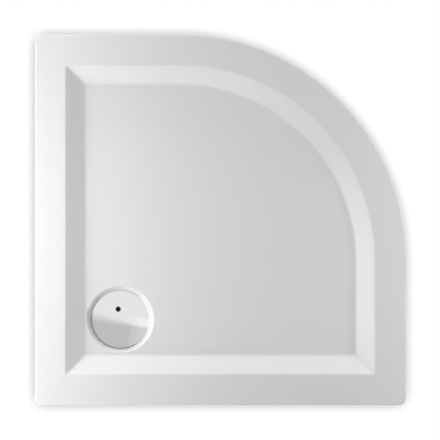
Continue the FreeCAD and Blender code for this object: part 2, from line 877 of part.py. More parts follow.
def make_outlet_nut():
    """Nut over the socket's end with a lip that presses the ring, and grip flutes round it."""
    face = "-outlet_reach - outlet_seal_thickness"
    body = turned_on_outlet("outlet_nut", [
        ("outlet_radius + seat_clearance", "outlet_nut_cover - outlet_reach"),
        ("outlet_nut_radius", "outlet_nut_cover - outlet_reach"),
        ("outlet_nut_radius", face + " - outlet_nut_lip"),
        ("socket_radius + seat_clearance", face + " - outlet_nut_lip"),
        ("socket_radius + seat_clearance", face),
        ("outlet_radius + seat_clearance", face),
    ])
    flute = circles(body, "grip_line", [("grip_place", "0", "grip_radius")], "XZ_Plane")
    bind(flute, "AttachmentOffset.Base.y", "outlet_z")
    first = pocket(body, flute, "grip", reverse=True)
    ring_pattern(body, first, "grips", "grip_count")
    return body


def make_dip_tube():
    return make_turned("dip_tube", [
        ("dip_bore_radius", "dip_end_z"),
        ("dip_radius", "dip_end_z"),
        ("dip_radius", "shelf_z - dip_spigot_length"),
        ("dip_spigot_radius", "shelf_z - dip_spigot_length"),
        ("dip_spigot_radius", "oring_z - oring_cord_radius"),
        ("groove_radius", "oring_z - oring_cord_radius"),
        ("groove_radius", "oring_z + oring_cord_radius"),
        ("dip_spigot_radius", "oring_z + oring_cord_radius"),
        ("dip_spigot_radius", "shelf_z"),
        ("dip_flange_radius", "shelf_z"),
        ("dip_flange_radius", "dip_top_z"),
        ("dip_bore_radius", "dip_top_z"),
    ])


def make_oring():
    ring = doc.addObject("Part::Torus", "dip_tube_oring")
    bind(ring, "Radius1", "oring_radius")
    bind(ring, "Radius2", "oring_cord_radius")
    bind(ring, "Placement.Base.z", "oring_z")
    return ring


def make_strainer():
    """Cup with a rim on the flange's ledge, a knob to lift it by and two rings of holes."""
    body = make_turned("hair_strainer", [
        ("0", "strainer_z"),
        ("strainer_cup_radius", "strainer_z"),
        ("strainer_cup_radius", "ledge_z"),
        ("strainer_rim_radius", "ledge_z"),
        ("strainer_rim_radius", "strainer_top_z"),
        ("strainer_cup_radius - strainer_wall", "strainer_top_z"),
        ("strainer_cup_radius - strainer_wall", "strainer_z + strainer_wall"),
        ("strainer_knob_radius", "strainer_z + strainer_wall"),
        ("strainer_knob_radius", "ledge_z"),
        ("0", "ledge_z"),
    ])
    for ring in ("ring", "inner"):
        hole = [("strainer_%s_radius" % ring, "0", "strainer_hole_radius")]
        line = circles(body, "strainer_%s_line" % ring, hole, height="ledge_z")
        first = pocket(body, line, "strainer_%s_hole" % ring)
        ring_pattern(body, first, "strainer_%s_holes" % ring, "strainer_%s_count" % ring)
    return body


def dome_arc(edge_radius, edge_height, top_height):
    """Arc from the edge of a dome up to its top, with its centre on the vertical axis."""
    rise = top_height - edge_height
    radius = (edge_radius ** 2 + rise ** 2) / (2 * rise)
    centre = top_height - radius
    edge_angle = math.atan2(edge_height - centre, edge_radius)
    circle = Part.Circle(Vector(0, centre, 0), Vector(0, 0, 1), radius)
    return Part.ArcOfCircle(circle, edge_angle, math.pi / 2)


def cover_outline(body):
    """Half section of the cover: a dome, its turned-down edge and the same inside, a wall lower."""
    sketch = new_sketch(body, "cover_line", "XZ_Plane")
    outer = size("cover_radius")
    inner = size("cover_inner_radius")
    top = size("cover_top_z")
    ceiling = size("cover_ceiling_z")
    shoulder = size("cover_shoulder_z")
    inner_shoulder = size("cover_inner_shoulder_z")
    skirt = size("cover_skirt_z")

    def line(start, end):
        sketch.addGeometry(Part.LineSegment(Vector(*start), Vector(*end)))

    sketch.addGeometry(dome_arc(outer, shoulder, top))
    line((outer, shoulder), (outer, skirt))
    line((outer, skirt), (inner, skirt))
    line((inner, skirt), (inner, inner_shoulder))
    sketch.addGeometry(dome_arc(inner, inner_shoulder, ceiling))
    line((0, ceiling), (0, top))
    joins = ((0, 1, 1, 1), (1, 2, 2, 1), (2, 2, 3, 1), (3, 2, 4, 1), (4, 2, 5, 1), (5, 2, 0, 2))
    for join in joins:
        sketch.addConstraint(Sketcher.Constraint("Coincident", *join))
    for dome in (0, 4):
        sketch.addConstraint(Sketcher.Constraint("PointOnObject", dome, 3, -2))
    tie(sketch, "radius", "cover_radius", "DistanceX", -1, 1, 1, 1, outer)
    tie(sketch, "shoulder", "cover_shoulder_z", "DistanceY", -1, 1, 1, 1, shoulder)
    tie(sketch, "rim", "cover_radius", "DistanceX", -1, 1, 2, 1, outer)
    tie(sketch, "skirt", "cover_skirt_z", "DistanceY", -1, 1, 2, 1, skirt)
    tie(sketch, "inner_rim", "cover_inner_radius", "DistanceX", -1, 1, 3, 1, inner)
    tie(sketch, "inner_skirt", "cover_skirt_z", "DistanceY", -1, 1, 3, 1, skirt)
    tie(sketch, "inner_radius", "cover_inner_radius", "DistanceX", -1, 1, 4, 1, inner)
    tie(sketch, "inner_shoulder", "cover_inner_shoulder_z", "DistanceY", -1, 1, 4, 1, inner_shoulder)
    tie(sketch, "ceiling", "cover_ceiling_z", "DistanceY", -1, 1, 5, 1, ceiling)
    tie(sketch, "top", "cover_top_z", "DistanceY", -1, 1, 5, 2, top)
    for end in (1, 2):
        sketch.addConstraint(Sketcher.Constraint("PointOnObject", 5, end, -2))
    return sketch


def make_cover():
    """Domed cover with a turned-down edge, a lift hole and posts that stand on the flange."""
    body = new_body("waste_cover")
    turned(body, cover_outline(body), "cover_dome")
    rounded(body, "cover_bend", "cover_edge", level_at(size("cover_shoulder_z")))
    rounded(body, "cover_inner_bend", "cover_edge - cover_wall", level_at(size("cover_inner_shoulder_z")))
    post = circles(body, "post_line", [("cover_post_ring", "0", "cover_post_radius")], height="clamp_top_z")
    first = pad(body, post, "post", "cover_post_top_z - clamp_top_z")
    ring_pattern(body, first, "posts", "cover_post_count")
    lift = [("lift_hole_x", "lift_hole_y", "lift_hole_radius")]
    pocket(body, circles(body, "lift_line", lift, height="cover_top_z"), "lift_hole")
    return body


def make_trap():
    """The fixed trap, the insert that lifts out of it and the cover, all on the waste's axis."""
    flange_ring = ring_outline("neck_radius", "clamp_radius - gasket_margin", "recess_z", "clamp_z")
    body_outer = "trap_flange_radius - gasket_margin"
    body_ring = ring_outline("waste_hole_radius", body_outer, "trap_top_z", "recess_under_z")
    pieces = [
        make_turned("flange_gasket", flange_ring),
        make_clamp_flange(),
        make_turned("body_gasket", body_ring),
        make_trap_body(),
        make_outlet_seal(),
        make_outlet_nut(),
        make_dip_tube(),
        make_oring(),
        make_strainer(),
        make_cover(),
    ]
    for piece in pieces:
        place(piece, "waste_place", "waste_place")
    return pieces


def check(pieces):
    """Stops if anything in the model failed or any piece has no sound solid."""
    for item in doc.Objects:
        if {"Invalid", "Error"} & set(item.State):
            raise RuntimeError(item.Label + " failed")
    for piece in pieces:
        if piece.Shape.isNull() or not piece.Shape.isValid() or not piece.Shape.Solids:
            raise RuntimeError(piece.Label + " has no sound solid")


def main():
    pieces = [make_shell(), make_backing(), make_board()] + make_legs() + make_trap()
    doc.recompute()
    check(pieces)
    os.makedirs("parts", exist_ok=True)
    for piece in pieces:
        piece.Shape.exportStep("parts/%s.step" % piece.Label)


main()
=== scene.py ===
"""Finished surfaces of a quadrant shower tray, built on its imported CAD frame.

Metres, +Z up. The curved side faces +X +Y and the waste is in the corner between the two wall sides.
"""

import functools
import math

import bmesh
import bpy
import numpy as np
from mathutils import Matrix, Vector


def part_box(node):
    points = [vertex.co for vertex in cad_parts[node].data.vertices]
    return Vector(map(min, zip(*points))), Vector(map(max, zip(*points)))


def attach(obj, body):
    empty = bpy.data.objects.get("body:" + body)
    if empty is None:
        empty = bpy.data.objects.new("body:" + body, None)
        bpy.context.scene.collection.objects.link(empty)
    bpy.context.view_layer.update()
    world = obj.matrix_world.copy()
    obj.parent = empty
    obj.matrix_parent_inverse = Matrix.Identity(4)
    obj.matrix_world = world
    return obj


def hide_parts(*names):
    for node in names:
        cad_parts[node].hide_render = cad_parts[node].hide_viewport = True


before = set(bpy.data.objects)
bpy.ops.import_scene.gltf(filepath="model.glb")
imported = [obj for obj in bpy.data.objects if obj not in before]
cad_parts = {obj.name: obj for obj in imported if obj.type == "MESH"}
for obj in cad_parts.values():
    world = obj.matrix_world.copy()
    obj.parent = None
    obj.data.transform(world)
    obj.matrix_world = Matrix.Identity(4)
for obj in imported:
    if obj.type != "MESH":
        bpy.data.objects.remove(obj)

bl_info = {
    "name": "Quadrant shower tray",
    "version": (1, 0, 0),
    "blender": (4, 5, 0),
    "location": "View3D > Sidebar > Tray",
    "description": "Builds the finished surfaces of a quadrant shower tray on its CAD frame",
    "category": "Add Mesh",
}

MM = 0.001
TURN = 2 * math.pi
# Points nearer than this are one, and faces that meet at a larger angle than this have a crease
MERGE = 0.001 * MM
CREASE = math.radians(35)
# Rounding of the creases of plates and nuts, and bevel of turned ends and bores
SOFT_EDGE = 0.3 * MM
TURNED_EDGE = 0.6 * MM
LEGS = ("corner", "left", "right", "curve", "middle")
# The leg under the curve stands square to the tray's diagonal
LEG_TURNS = {"curve": math.radians(45)}

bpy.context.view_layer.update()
tray_low, tray_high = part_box("tray_shell")
cover_low, cover_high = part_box("waste_cover")
clamp_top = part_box("clamp_flange")[1].z
# Place of the waste in plan, and radius of its cover
waste = np.array([cover_low.x + cover_high.x, cover_low.y + cover_high.y]) / 2
cover_radius = (cover_high.x - cover_low.x) / 2


def linear(code):
    """Linear red, green and blue of an sRGB hex value, by the curve of that standard."""
    shares = (int(code[i:i + 2], 16) / 255 for i in (1, 3, 5))
    return tuple(v / 12.92 if v <= 0.04045 else ((v + 0.055) / 1.055) ** 2.4 for v in shares)


def length(name, description, millimetres):
    """Property that holds a length, with a number of millimetres as its default."""
    return bpy.props.FloatProperty(
        name=name, description=description, default=millimetres * MM, unit="LENGTH"
    )


def tint(name, description, code):
    """Property that holds an opaque colour, with an sRGB hex value as its default."""
    return bpy.props.FloatVectorProperty(
        name=name, description=description, default=(*linear(code), 1), size=4, subtype="COLOR", min=0, max=1
    )


class ShellSizes(bpy.types.PropertyGroup):
    """Sizes of the formed shell."""

    curve_radius: length("Curve radius", "Plan radius of the curved side", 550)
    corner_radius: length("Corner radius", "Plan radius of the three small corners", 15)
    wall: length("Wall", "Thickness of the sheet with its resin", 4)
    rim_width: length("Rim width", "Width of the flat rim", 74)
    wall_run: length("Wall run", "Plan width of the sloping wall", 46.5)
    basin_depth: length("Basin depth", "Depth of the floor under the rim at the middle", 30)
    basin_corner: length("Basin corner", "Plan radius of the basin's small corners", 5)
    rim_edge: length("Rim edge", "Radius over the rim's outer edge", 3)
    rim_inner: length("Rim inner edge", "Radius from the rim into the wall", 10)
    floor_edge: length("Floor edge", "Radius from the wall into the floor", 16)
    recess_flat: length("Recess flat", "Radius of the flat bottom of the waste recess", 73)
    recess_run: length("Recess run", "Plan width of the recess's sloping side", 8.5)
    recess_depth: length("Recess depth", "Depth of the recess under the floor", 10)
    recess_edge: length("Recess edge", "Radius over the recess's edges", 2)
    hole_radius: length("Hole radius", "Radius of the hole for the waste", 45)
    resin_ripple: length("Resin ripple", "Height of the ripple in the hand-rolled resin", 0.35)
    floor_fall: bpy.props.FloatProperty(
        name="Floor fall", description="Fall of the floor towards the waste",
        default=math.radians(0.45), unit="ROTATION",
    )


class CoverSizes(bpy.types.PropertyGroup):
    """Sizes of the domed waste cover."""

    wall: length("Wall", "Thickness of the pressed sheet", 1.5)
    crown: length("Crown", "Rise of the dome", 7.5)
    bend: length("Bend", "Height of the bend from the dome into its turned-down edge", 2.2)
    bend_run: length("Bend run", "Plan width of the bend, which is half an oval", 5)
    lift_radius: length("Lift hole radius", "Radius of the hole to lift the cover by", 5.8)
    lift_lip: length("Lift hole lip", "Radius of the rolled edge of the lift hole", 1.2)
    lift_x: length("Lift hole X", "Place of the lift hole from the middle, along X", -6)
    lift_y: length("Lift hole Y", "Place of the lift hole from the middle, along Y", 25)
    post_radius: length("Post radius", "Radius of the three posts under the cover", 3)
    post_ring: length("Post ring", "Distance of the posts from the middle", 50)


class LegSizes(bpy.types.PropertyGroup):
    """Sizes of the leg set."""

    thread_radius: length("Thread radius", "Outer radius of the stud's thread", 6)
    thread_pitch: length("Thread pitch", "Rise of the thread in one turn", 1.75)
    thread_depth: length("Thread depth", "Depth of the thread", 0.95)
    pin_radius: length("Pin radius", "Radius of the plain pin in the foot", 5)
    collar_flats: length("Collar flats", "Width across flats of the stud's collar", 17)
    collar_height: length("Collar height", "Height of the stud's collar", 8)
    nut_flats: length("Nut flats", "Width across flats of the nuts", 19)
    nut_gap: length("Nut gap", "Gap between the lock nut and the nut that it turns against", 0.05)
    plate_side: length("Plate side", "Side of the square plate", 60)
    plate_thickness: length("Plate thickness", "Thickness of the plate", 2.5)
    plate_corner: length("Plate corner", "Radius of the plate's corners", 6)
    screw_pitch: length("Screw pitch", "Spacing of the screws in the plate", 44)
    screw_head: length("Screw head radius", "Radius of the screw's pan head", 4.4)
    screw_height: length("Screw head height", "Height of the screw's pan head", 2.6)
    screw_shank: length("Screw shank radius", "Radius of the screw's shank", 2.2)
    screw_length: length("Screw length", "Length of the screw under its head, past the plate", 14)
    neck_radius: length("Foot neck radius", "Radius of the foot's neck", 13)
    foot_rim: length("Foot rim", "Height of the foot's outer rim", 6)
    foot_shoulder: length("Foot shoulder", "Height at which the foot's cone meets its neck", 16)
    foot_wall: length("Foot wall", "Width of the foot's lip round the pad", 2.2)


class TrayColours(bpy.types.PropertyGroup):
    """Colours of the finishes."""

    acrylic: tint("Acrylic", "White sanitary acrylic", "#E9EBEA")
    resin: tint("Resin", "Polyester resin over chopped glass", "#C9C3AE")
    strand: tint("Strand", "Glass strands near the resin's surface", "#E4E0D2")
    chip_light: tint("Light chips", "Pale wood chips", "#C39E6B")
    chip_dark: tint("Dark chips", "Dark wood chips and glue", "#8B663C")
    wood_early: tint("Early wood", "Pale bands of the softwood", "#D9B583")
    wood_late: tint("Late wood", "Dark bands of the softwood", "#B48450")
    zinc: tint("Zinc", "Zinc plate on steel", "#B9BDC0")
    nylon: tint("Nylon", "Black glass-filled nylon", "#1C1D1F")
    rubber: tint("Rubber", "Black rubber", "#191919")
    trap: tint("Trap", "White polypropylene", "#DCDDDA")
    insert: tint("Insert", "Dark grey polypropylene", "#26282A")
    chrome: tint("Chrome", "Chrome plate", "#EEEEEF")


# Meshes

def outward(points):
    """Grid of a closed surface, turned round if the volume that it holds comes out negative."""
    a, b, c, d = points[:-1, :-1], points[:-1, 1:], points[1:, 1:], points[1:, :-1]
    volume = np.sum(np.cross(a, b) * c) + np.sum(np.cross(a, c) * d)
    return points if volume > 0 else points[:, ::-1]


def make_piece(name, body, replaced, surfaces, finishes, rows_finish=None):
    """Object from closed grids of points, with seams and poles merged and smooth shading between creases."""
    points, quads, start = [], [], 0
    for grid in surfaces:
        grid = outward(np.asarray(grid, float))
        index = start + np.arange(grid.shape[0] * grid.shape[1]).reshape(grid.shape[:2])
        corners = (index[:-1, :-1], index[:-1, 1:], index[1:, 1:], index[1:, :-1])
        quads.append(np.stack(corners, axis=-1).reshape(-1, 4))
        points.append(grid.reshape(-1, 3))
        start += points[-1].shape[0]
    mesh = bpy.data.meshes.new(name)
    mesh.from_pydata(np.concatenate(points), [], np.concatenate(quads))
    for finish in finishes:
        mesh.materials.append(finish)
    if rows_finish is not None:
        columns = surfaces[0].shape[1] - 1
        mesh.polygons.foreach_set("material_index", np.repeat(rows_finish, columns).astype(np.int32))
    merged = bmesh.new()
    merged.from_mesh(mesh)
    bmesh.ops.remove_doubles(merged, verts=merged.verts, dist=MERGE)
    merged.to_mesh(mesh)
    merged.free()
    mesh.polygons.foreach_set("use_smooth", np.ones(len(mesh.polygons), bool))
    mesh.set_sharp_from_angle(angle=CREASE)
    piece = bpy.data.objects.new(name, mesh)
    bpy.context.scene.collection.objects.link(piece)
    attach(piece, body)
    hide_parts(*replaced)
    return piece


def soften(piece):
    """Rounds the creases of a piece."""
    bevel = piece.modifiers.new("soft_edges", "BEVEL")
    bevel.width = SOFT_EDGE
    bevel.segments = 2
    bevel.limit_method = "ANGLE"
    bevel.angle_limit = CREASE


def rounded_profile(corners, steps=6):
    """Points of an outline whose corners (across, height, radius) are arcs tangent to both sides: each
    swings from its first radius to its last, weighed by the sines of the way to the other."""
    places = np.array([corner[:2] for corner in corners], float)
    points = []
    for i, corner in enumerate(corners):
        radius = corner[2]
        if radius == 0 or i in (0, len(corners) - 1):
            points.append(places[i:i + 1])
            continue
        back = places[i - 1] - places[i]
        ahead = places[i + 1] - places[i]
        back /= np.linalg.norm(back)
        ahead /= np.linalg.norm(ahead)
        half = math.acos(np.clip(back @ ahead, -1, 1)) / 2
        middle = back + ahead
        centre = places[i] + middle / np.linalg.norm(middle) * radius / math.sin(half)
        first = places[i] + back * radius / math.tan(half) - centre
        last = places[i] + ahead * radius / math.tan(half) - centre
        swing = math.pi - 2 * half
        share = np.linspace(0, 1, steps)[:, None]
        arc = np.sin((1 - share) * swing) * first + np.sin(share * swing) * last
        points.append(centre + arc / math.sin(swing))
    return np.concatenate(points)


def around(centre, reach, angle, height):
    """Points at a reach and an angle round the vertical axis over centre, at a height."""
    x = centre[0] + reach * np.cos(angle)
    y = centre[1] + reach * np.sin(angle)
    return np.stack([x, y, np.broadcast_to(height, x.shape)], axis=-1)


def between(first, last, shares):
    """Rows of points at shares of the straight way from one row to another."""
    return first + (last - first) * np.reshape(shares, (-1, 1, 1))


def revolved(profile, centre, columns=72):
    """Profile of (distance, height) carried round the vertical axis over centre."""
    angle = np.linspace(0, TURN, columns + 1)
    return around(centre, profile[:, :1], angle, profile[:, 1:])


def turned(points, centre, angle):
    """Points turned about the vertical axis over centre."""
    x, y = points[..., 0] - centre[0], points[..., 1] - centre[1]
    cos, sin = math.cos(angle), math.sin(angle)
    return np.stack([centre[0] + x * cos - y * sin, centre[1] + x * sin + y * cos, points[..., 2]], axis=-1)


# Formed shell

# Shares of the way along an outline's long sides, short sides, curve and corners
LONG_SHARE = np.linspace(0, 1, 90, endpoint=False)
SHORT_SHARE = np.linspace(0, 1, 44, endpoint=False)
CURVE_SHARE = np.linspace(0, 1, 128, endpoint=False)
CORNER_SHARE = np.linspace(0, 1, 12, endpoint=False)


def quadrant(half, curve, corner):
    """Rows of plan outlines: four straight sides, three quarter circles of corner and one of curve."""
    half, curve, corner = (np.reshape(value, (-1, 1)) for value in np.broadcast_arrays(half, curve, corner))
    inner = half - corner
    middle = half - curve

    def side(x_start, y_start, x_end, y_end, share):
        """Straight line from its start to its end."""
        return x_start + (x_end - x_start) * share, y_start + (y_end - y_start) * share

    def bend(x_centre, y_centre, radius, quarter, share):
        """Quarter circle that begins a number of quarters past +X."""
        angle = (quarter + share) * TURN / 4
        return x_centre + radius * np.cos(angle), y_centre + radius * np.sin(angle)

    stretches = (
        side(-inner, -half, inner, -half, LONG_SHARE),
        bend(inner, -inner, corner, -1, CORNER_SHARE),
        side(half, -inner, half, middle, SHORT_SHARE),
        bend(middle, middle, curve, 0, CURVE_SHARE),
        side(middle, half, -inner, half, SHORT_SHARE),
        bend(-inner, inner, corner, 1, CORNER_SHARE),
        side(-half, inner, -half, -inner, LONG_SHARE),
        bend(-inner, -inner, corner, 2, CORNER_SHARE),
    )
    x = np.concatenate([stretch[0] for stretch in stretches], axis=1)
    y = np.concatenate([stretch[1] for stretch in stretches], axis=1)
    return np.concatenate([x, x[:, :1]], axis=1), np.concatenate([y, y[:, :1]], axis=1)


# Distance from an arc's end to the point that holds the flat or the slope beside it
HOLD = 1.0 * MM
# Waves of the rolled resin along X and Y and the sway that bends them, in radians per metre, and its reach
RIPPLE_WAVE = (210, 190)
RIPPLE_SWAY = (70, 90)
RIPPLE_BEND = 2


def slope_profile(start, end, depth, top_radius, foot_radius, steps=8):
    """Insets and heights down a slope from (start, 0) to (end, -depth), with an arc into each flat, and a
    held point on the flat outside each arc and on the slope inside it."""
    pitch = math.atan2(depth, end - start)
    top = start - top_radius * math.tan(pitch / 2)
    foot = end + foot_radius * math.tan(pitch / 2)
    swing = np.linspace(0, pitch, steps)
    down = np.array([math.cos(pitch), -math.sin(pitch)]) * HOLD
    upper = np.stack([top + top_radius * np.sin(swing), -top_radius * (1 - np.cos(swing))], axis=1)
    swing = swing[::-1]
    lower = np.stack([foot - foot_radius * np.sin(swing), foot_radius * (1 - np.cos(swing)) - depth], axis=1)
    points = np.concatenate([
        [[top - HOLD, 0]], upper, [upper[-1] + down, lower[0] - down], lower, [[foot + HOLD, -depth]]
    ])
    return points[:, 0], points[:, 1]


def shell_surface(sizes):
    """Closed surface of the shell: outlines drawn in from the skirt over the rim to the floor, blended into
    circles round the waste hole, and back along the underside. The floor is a tilted plane."""
    wall, depth, rim_edge, rim_width = sizes.wall, sizes.basin_depth, sizes.rim_edge, sizes.rim_width
    recess_run, recess_depth = sizes.recess_run, sizes.recess_depth
    half = tray_high.x
    skirt = tray_high.z - tray_low.z
    fall = math.tan(sizes.floor_fall) / math.sqrt(2)
    floor_inset = rim_width + sizes.wall_run
    waste_floor = tray_high.z - depth + fall * waste.sum()
    lip = sizes.recess_flat + recess_run

    def outlines(inset, height, corner, basin_top):
        """Outlines at their heights, tilted with the floor by the share of the basin's depth reached."""
        x, y = quadrant(half - inset, sizes.curve_radius - inset, corner)
        depth_share = np.clip((basin_top - height) / depth, 0, 1)
        sunk = np.where(inset > rim_width / 2, depth_share, 0)
        z = tray_high.z + height[:, None] + sunk[:, None] * fall * (x + y)
        return np.stack([x, y, z], axis=-1)

    def rings(radius, drop, level):
        """Circles round the waste, which lie on the floor's plane at the lip and are level at the bottom."""
        ring = around(waste, radius[:, None], bearing, 0)
        sunk = np.clip((level - drop) / recess_depth, 0, 1)[:, None]
        plane = tray_high.z - depth + fall * (ring[..., 0] + ring[..., 1])
        ring[..., 2] = (1 - sunk) * plane + sunk * waste_floor + drop[:, None]
        return ring

    # Upper side: skirt, rim edge and the way down to the floor, then the recess and the mouth of its hole
    swing = np.linspace(math.pi, math.pi / 2, 9)
    inset, height = slope_profile(rim_width, floor_inset, depth, sizes.rim_inner, sizes.floor_edge)
    inset = np.concatenate([[0, 0, 0], rim_edge * (1 + np.cos(swing)), [rim_edge + HOLD], inset])
    start = [-skirt, HOLD - skirt, -rim_edge - HOLD]
    height = np.concatenate([start, rim_edge * (np.sin(swing) - 1), [0], height])
    drawn = (0, rim_edge, rim_width)
    corners = (sizes.corner_radius, sizes.corner_radius - rim_edge, sizes.basin_corner)
    upper = outlines(inset, height, np.interp(inset, drawn, corners), 0)
    bearing = np.arctan2(upper[-1, :, 1] - waste[1], upper[-1, :, 0] - waste[0])
    run, drop = slope_profile(0, recess_run, recess_depth, sizes.recess_edge, sizes.recess_edge, 6)
    mouth = 0.5 * MM
    run = np.concatenate([run, lip - sizes.hole_radius - np.array([2, 1, 0.3, 0]) * mouth])
    drop = np.concatenate([drop, -recess_depth - np.array([0, 0, 0.3, 1]) * mouth])
    recess = rings(lip - run, drop, 0)
    floor = between(upper[-1:], recess[:1], np.linspace(0.1, 0.9, 5))

    # Underside: the same way back, a wall lower, with the ripple of rolled resin
    offset = wall * math.tan(math.atan2(depth, sizes.wall_run) / 2)
    inset, height = slope_profile(
        rim_width - offset, floor_inset - offset, depth, sizes.rim_inner - wall, sizes.floor_edge + wall
    )
    bevel = 2 * HOLD
    inset = np.concatenate([[wall, wall, wall + bevel], inset])
    height = np.concatenate([[wall - skirt, -bevel, 0], height]) - wall
    drawn = (wall, wall + bevel, rim_width)
    inner_corner = sizes.corner_radius - wall
    corners = (inner_corner, inner_corner - bevel, sizes.basin_corner + offset)
    lower = outlines(inset, height, np.interp(inset, drawn, corners), -wall)[::-1]
    under = wall * math.tan(math.atan2(recess_depth, recess_run) / 2)
    run, drop = slope_profile(0, recess_run, recess_depth, HOLD, HOLD, 4)
    run = np.concatenate([run, [lip + under - sizes.hole_radius]])
    drop = np.concatenate([drop, [-recess_depth]]) - wall
    bowl = rings(lip + under - run, drop, -wall)[::-1]
    back = between(bowl[-1:], lower[:1], np.linspace(0.1, 0.9, 9))
    rolled = np.concatenate([bowl[1:], back, lower[:-1]])
    x, y = rolled[..., 0], rolled[..., 1]
    x_wave = np.sin(x * RIPPLE_WAVE[0] + RIPPLE_BEND * np.sin(y * RIPPLE_SWAY[1]))
    y_wave = np.sin(y * RIPPLE_WAVE[1] + RIPPLE_BEND * np.sin(x * RIPPLE_SWAY[0]))
    rolled[..., 2] += sizes.resin_ripple * (x_wave * y_wave - 1) / 2
    rows = np.concatenate([upper, floor, recess, bowl[:1], rolled, lower[-1:], upper[:1]])
    top_rows = len(upper) + len(floor) + len(recess)
    rows_finish = (np.arange(len(rows) - 1) >= top_rows).astype(int)
    return rows, rows_finish


# Waste cover

COVER_COLUMNS = 144
# Reach of the first ring round the cover's middle that clears the lift hole, and the shares of the way to it
CLEAR_REACH = 40 * MM
CLEAR_SHARES = (0.08, 0.2, 0.35, 0.5, 0.65, 0.8, 0.92)
POSTS = 3


def cover_surface(sizes):
    """Closed surface of the cover: from the lift hole over a spherical dome, round an oval bend tangent to
    it, down the turned edge and back inside, a wall lower. Rings near the hole blend into its circle."""
    ball = (cover_radius ** 2 + sizes.crown ** 2) / (2 * sizes.crown)
    seat = cover_radius - sizes.bend_run
    tilt = math.asin((cover_radius - sizes.bend) / ball)
    lift = (sizes.lift_x, sizes.lift_y)
    angle = np.linspace(0, TURN, COVER_COLUMNS + 1)
    clear_ring = around((0, 0), CLEAR_REACH, angle, 0)
    bearing = np.arctan2(clear_ring[:, 1] - lift[1], clear_ring[:, 0] - lift[0])

    def dome(x, y, sunk):
        """Height of the dome's ball, or of one that is smaller by what it is sunk."""
        return cover_high.z - ball + np.sqrt((ball - sunk) ** 2 - x ** 2 - y ** 2)

    def laid(points, sunk):
        """Points of a plan, put on the dome."""
        points[..., 2] = dome(points[..., 0], points[..., 1], sunk)
        return points

    def hole_rings(grow, sunk):
        """Circles round the lift hole, grown from its radius."""
        return laid(around(lift, (sizes.lift_radius + grow)[:, None], bearing, 0), sunk)

    def side(lip, sunk, count):
        """Rows from the lip over the dome and round the bend, an ellipse that ends upright."""
        run, height = sizes.bend_run - sunk, sizes.bend - sunk
        first = math.atan2(height, run * math.tan(tilt))
        edge = seat + run * math.cos(first)
        reach = np.linspace(CLEAR_REACH, edge, count)[:, None]
        swing = np.linspace(first, 0, 13)[1:, None]
        level = dome(edge, 0, sunk) - height * math.sin(first)
        return np.concatenate([
            lip,
            laid(between(lip[-1:], clear_ring, CLEAR_SHARES), sunk),
            laid(around((0, 0), reach, angle, 0), sunk),
            around((0, 0), seat + run * np.cos(swing), angle, level + height * np.sin(swing)),
        ])

    swing = np.linspace(0, TURN / 4, 6)
    outer_lip = hole_rings(sizes.lift_lip * (1 - np.cos(swing)), 0)
    outer_lip[..., 2] -= (sizes.lift_lip * (1 - np.sin(swing)))[:, None]
    inner_lip = hole_rings(np.array([sizes.lift_lip]), sizes.wall)
    outside, inside = side(outer_lip, 0, 9), side(inner_lip, sizes.wall, 6)
    foot = np.stack([outside[-1], (outside[-1] + inside[-1]) / 2, inside[-1]])
    foot[..., 2] = cover_low.z + np.array([[SOFT_EDGE], [0], [SOFT_EDGE]])
    rows = np.concatenate([outside, foot, inside[::-1], outside[:1]])
    return rows + np.append(waste, 0)


def cover_posts(sizes):
    """Turned posts round the cover's middle, from half a wall inside the dome down to the clamp flange."""
    top = cover_high.z - sizes.wall / 2 - sizes.crown * (sizes.post_ring / cover_radius) ** 2
    post = sizes.post_radius
    corners = [(0, clamp_top, 0), (post, clamp_top, TURNED_EDGE), (post, top, 0), (0, top, 0)]
    bearing = np.arange(POSTS) * TURN / POSTS
    places = around(waste, sizes.post_ring, bearing, 0)
    return [revolved(rounded_profile(corners), place, 32) for place in places]


# Legs

# Share of a nut's width that its end face spans, and the cone that takes its corners off
END_FACE = 0.97
END_CONE = math.radians(30)
# Shares of the thread's triangular wave that make its root, and over which its flank rises to the crest
THREAD_ROOT = 0.2
THREAD_FLANK = 0.65
# Height of the thread over its core at the stud's top
THREAD_END = 0.2 * MM
# Ribs of a foot, the cosine at which a rib starts and how much more takes it to its height
RIBS = 8
RIB_START = 0.55
RIB_FLANK = 0.25
RIB_HEIGHT = 2.2 * MM
PAD_MARGIN = 2 * MM
GROOVE_PITCH = 4 * MM
GROOVE_DEPTH = 0.5 * MM
PLATE_EDGE = 0.4 * MM
PLATE_STEPS = 8
# Screw: length of its point, share of the head's height that is its upright rim, and power of its dome
SCREW_POINT = 4 * MM
HEAD_RIM = 0.35
HEAD_POWER = 2.6
HEAD_EDGE = 0.05 * MM
# Half the width and length of the cross slot's arms, the slopes at their sides and ends, and their depth
ARM_WIDTH, ARM_LENGTH = 0.6 * MM, 2.3 * MM
ARM_FLANK, ARM_END = 0.25 * MM, 0.5 * MM
ARM_DEPTH = 1.3 * MM


def leg_place(name):
    """Place of a leg in plan, which is its foot's middle."""
    low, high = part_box("foot_" + name)
    return np.array([low.x + high.x, low.y + high.y]) / 2


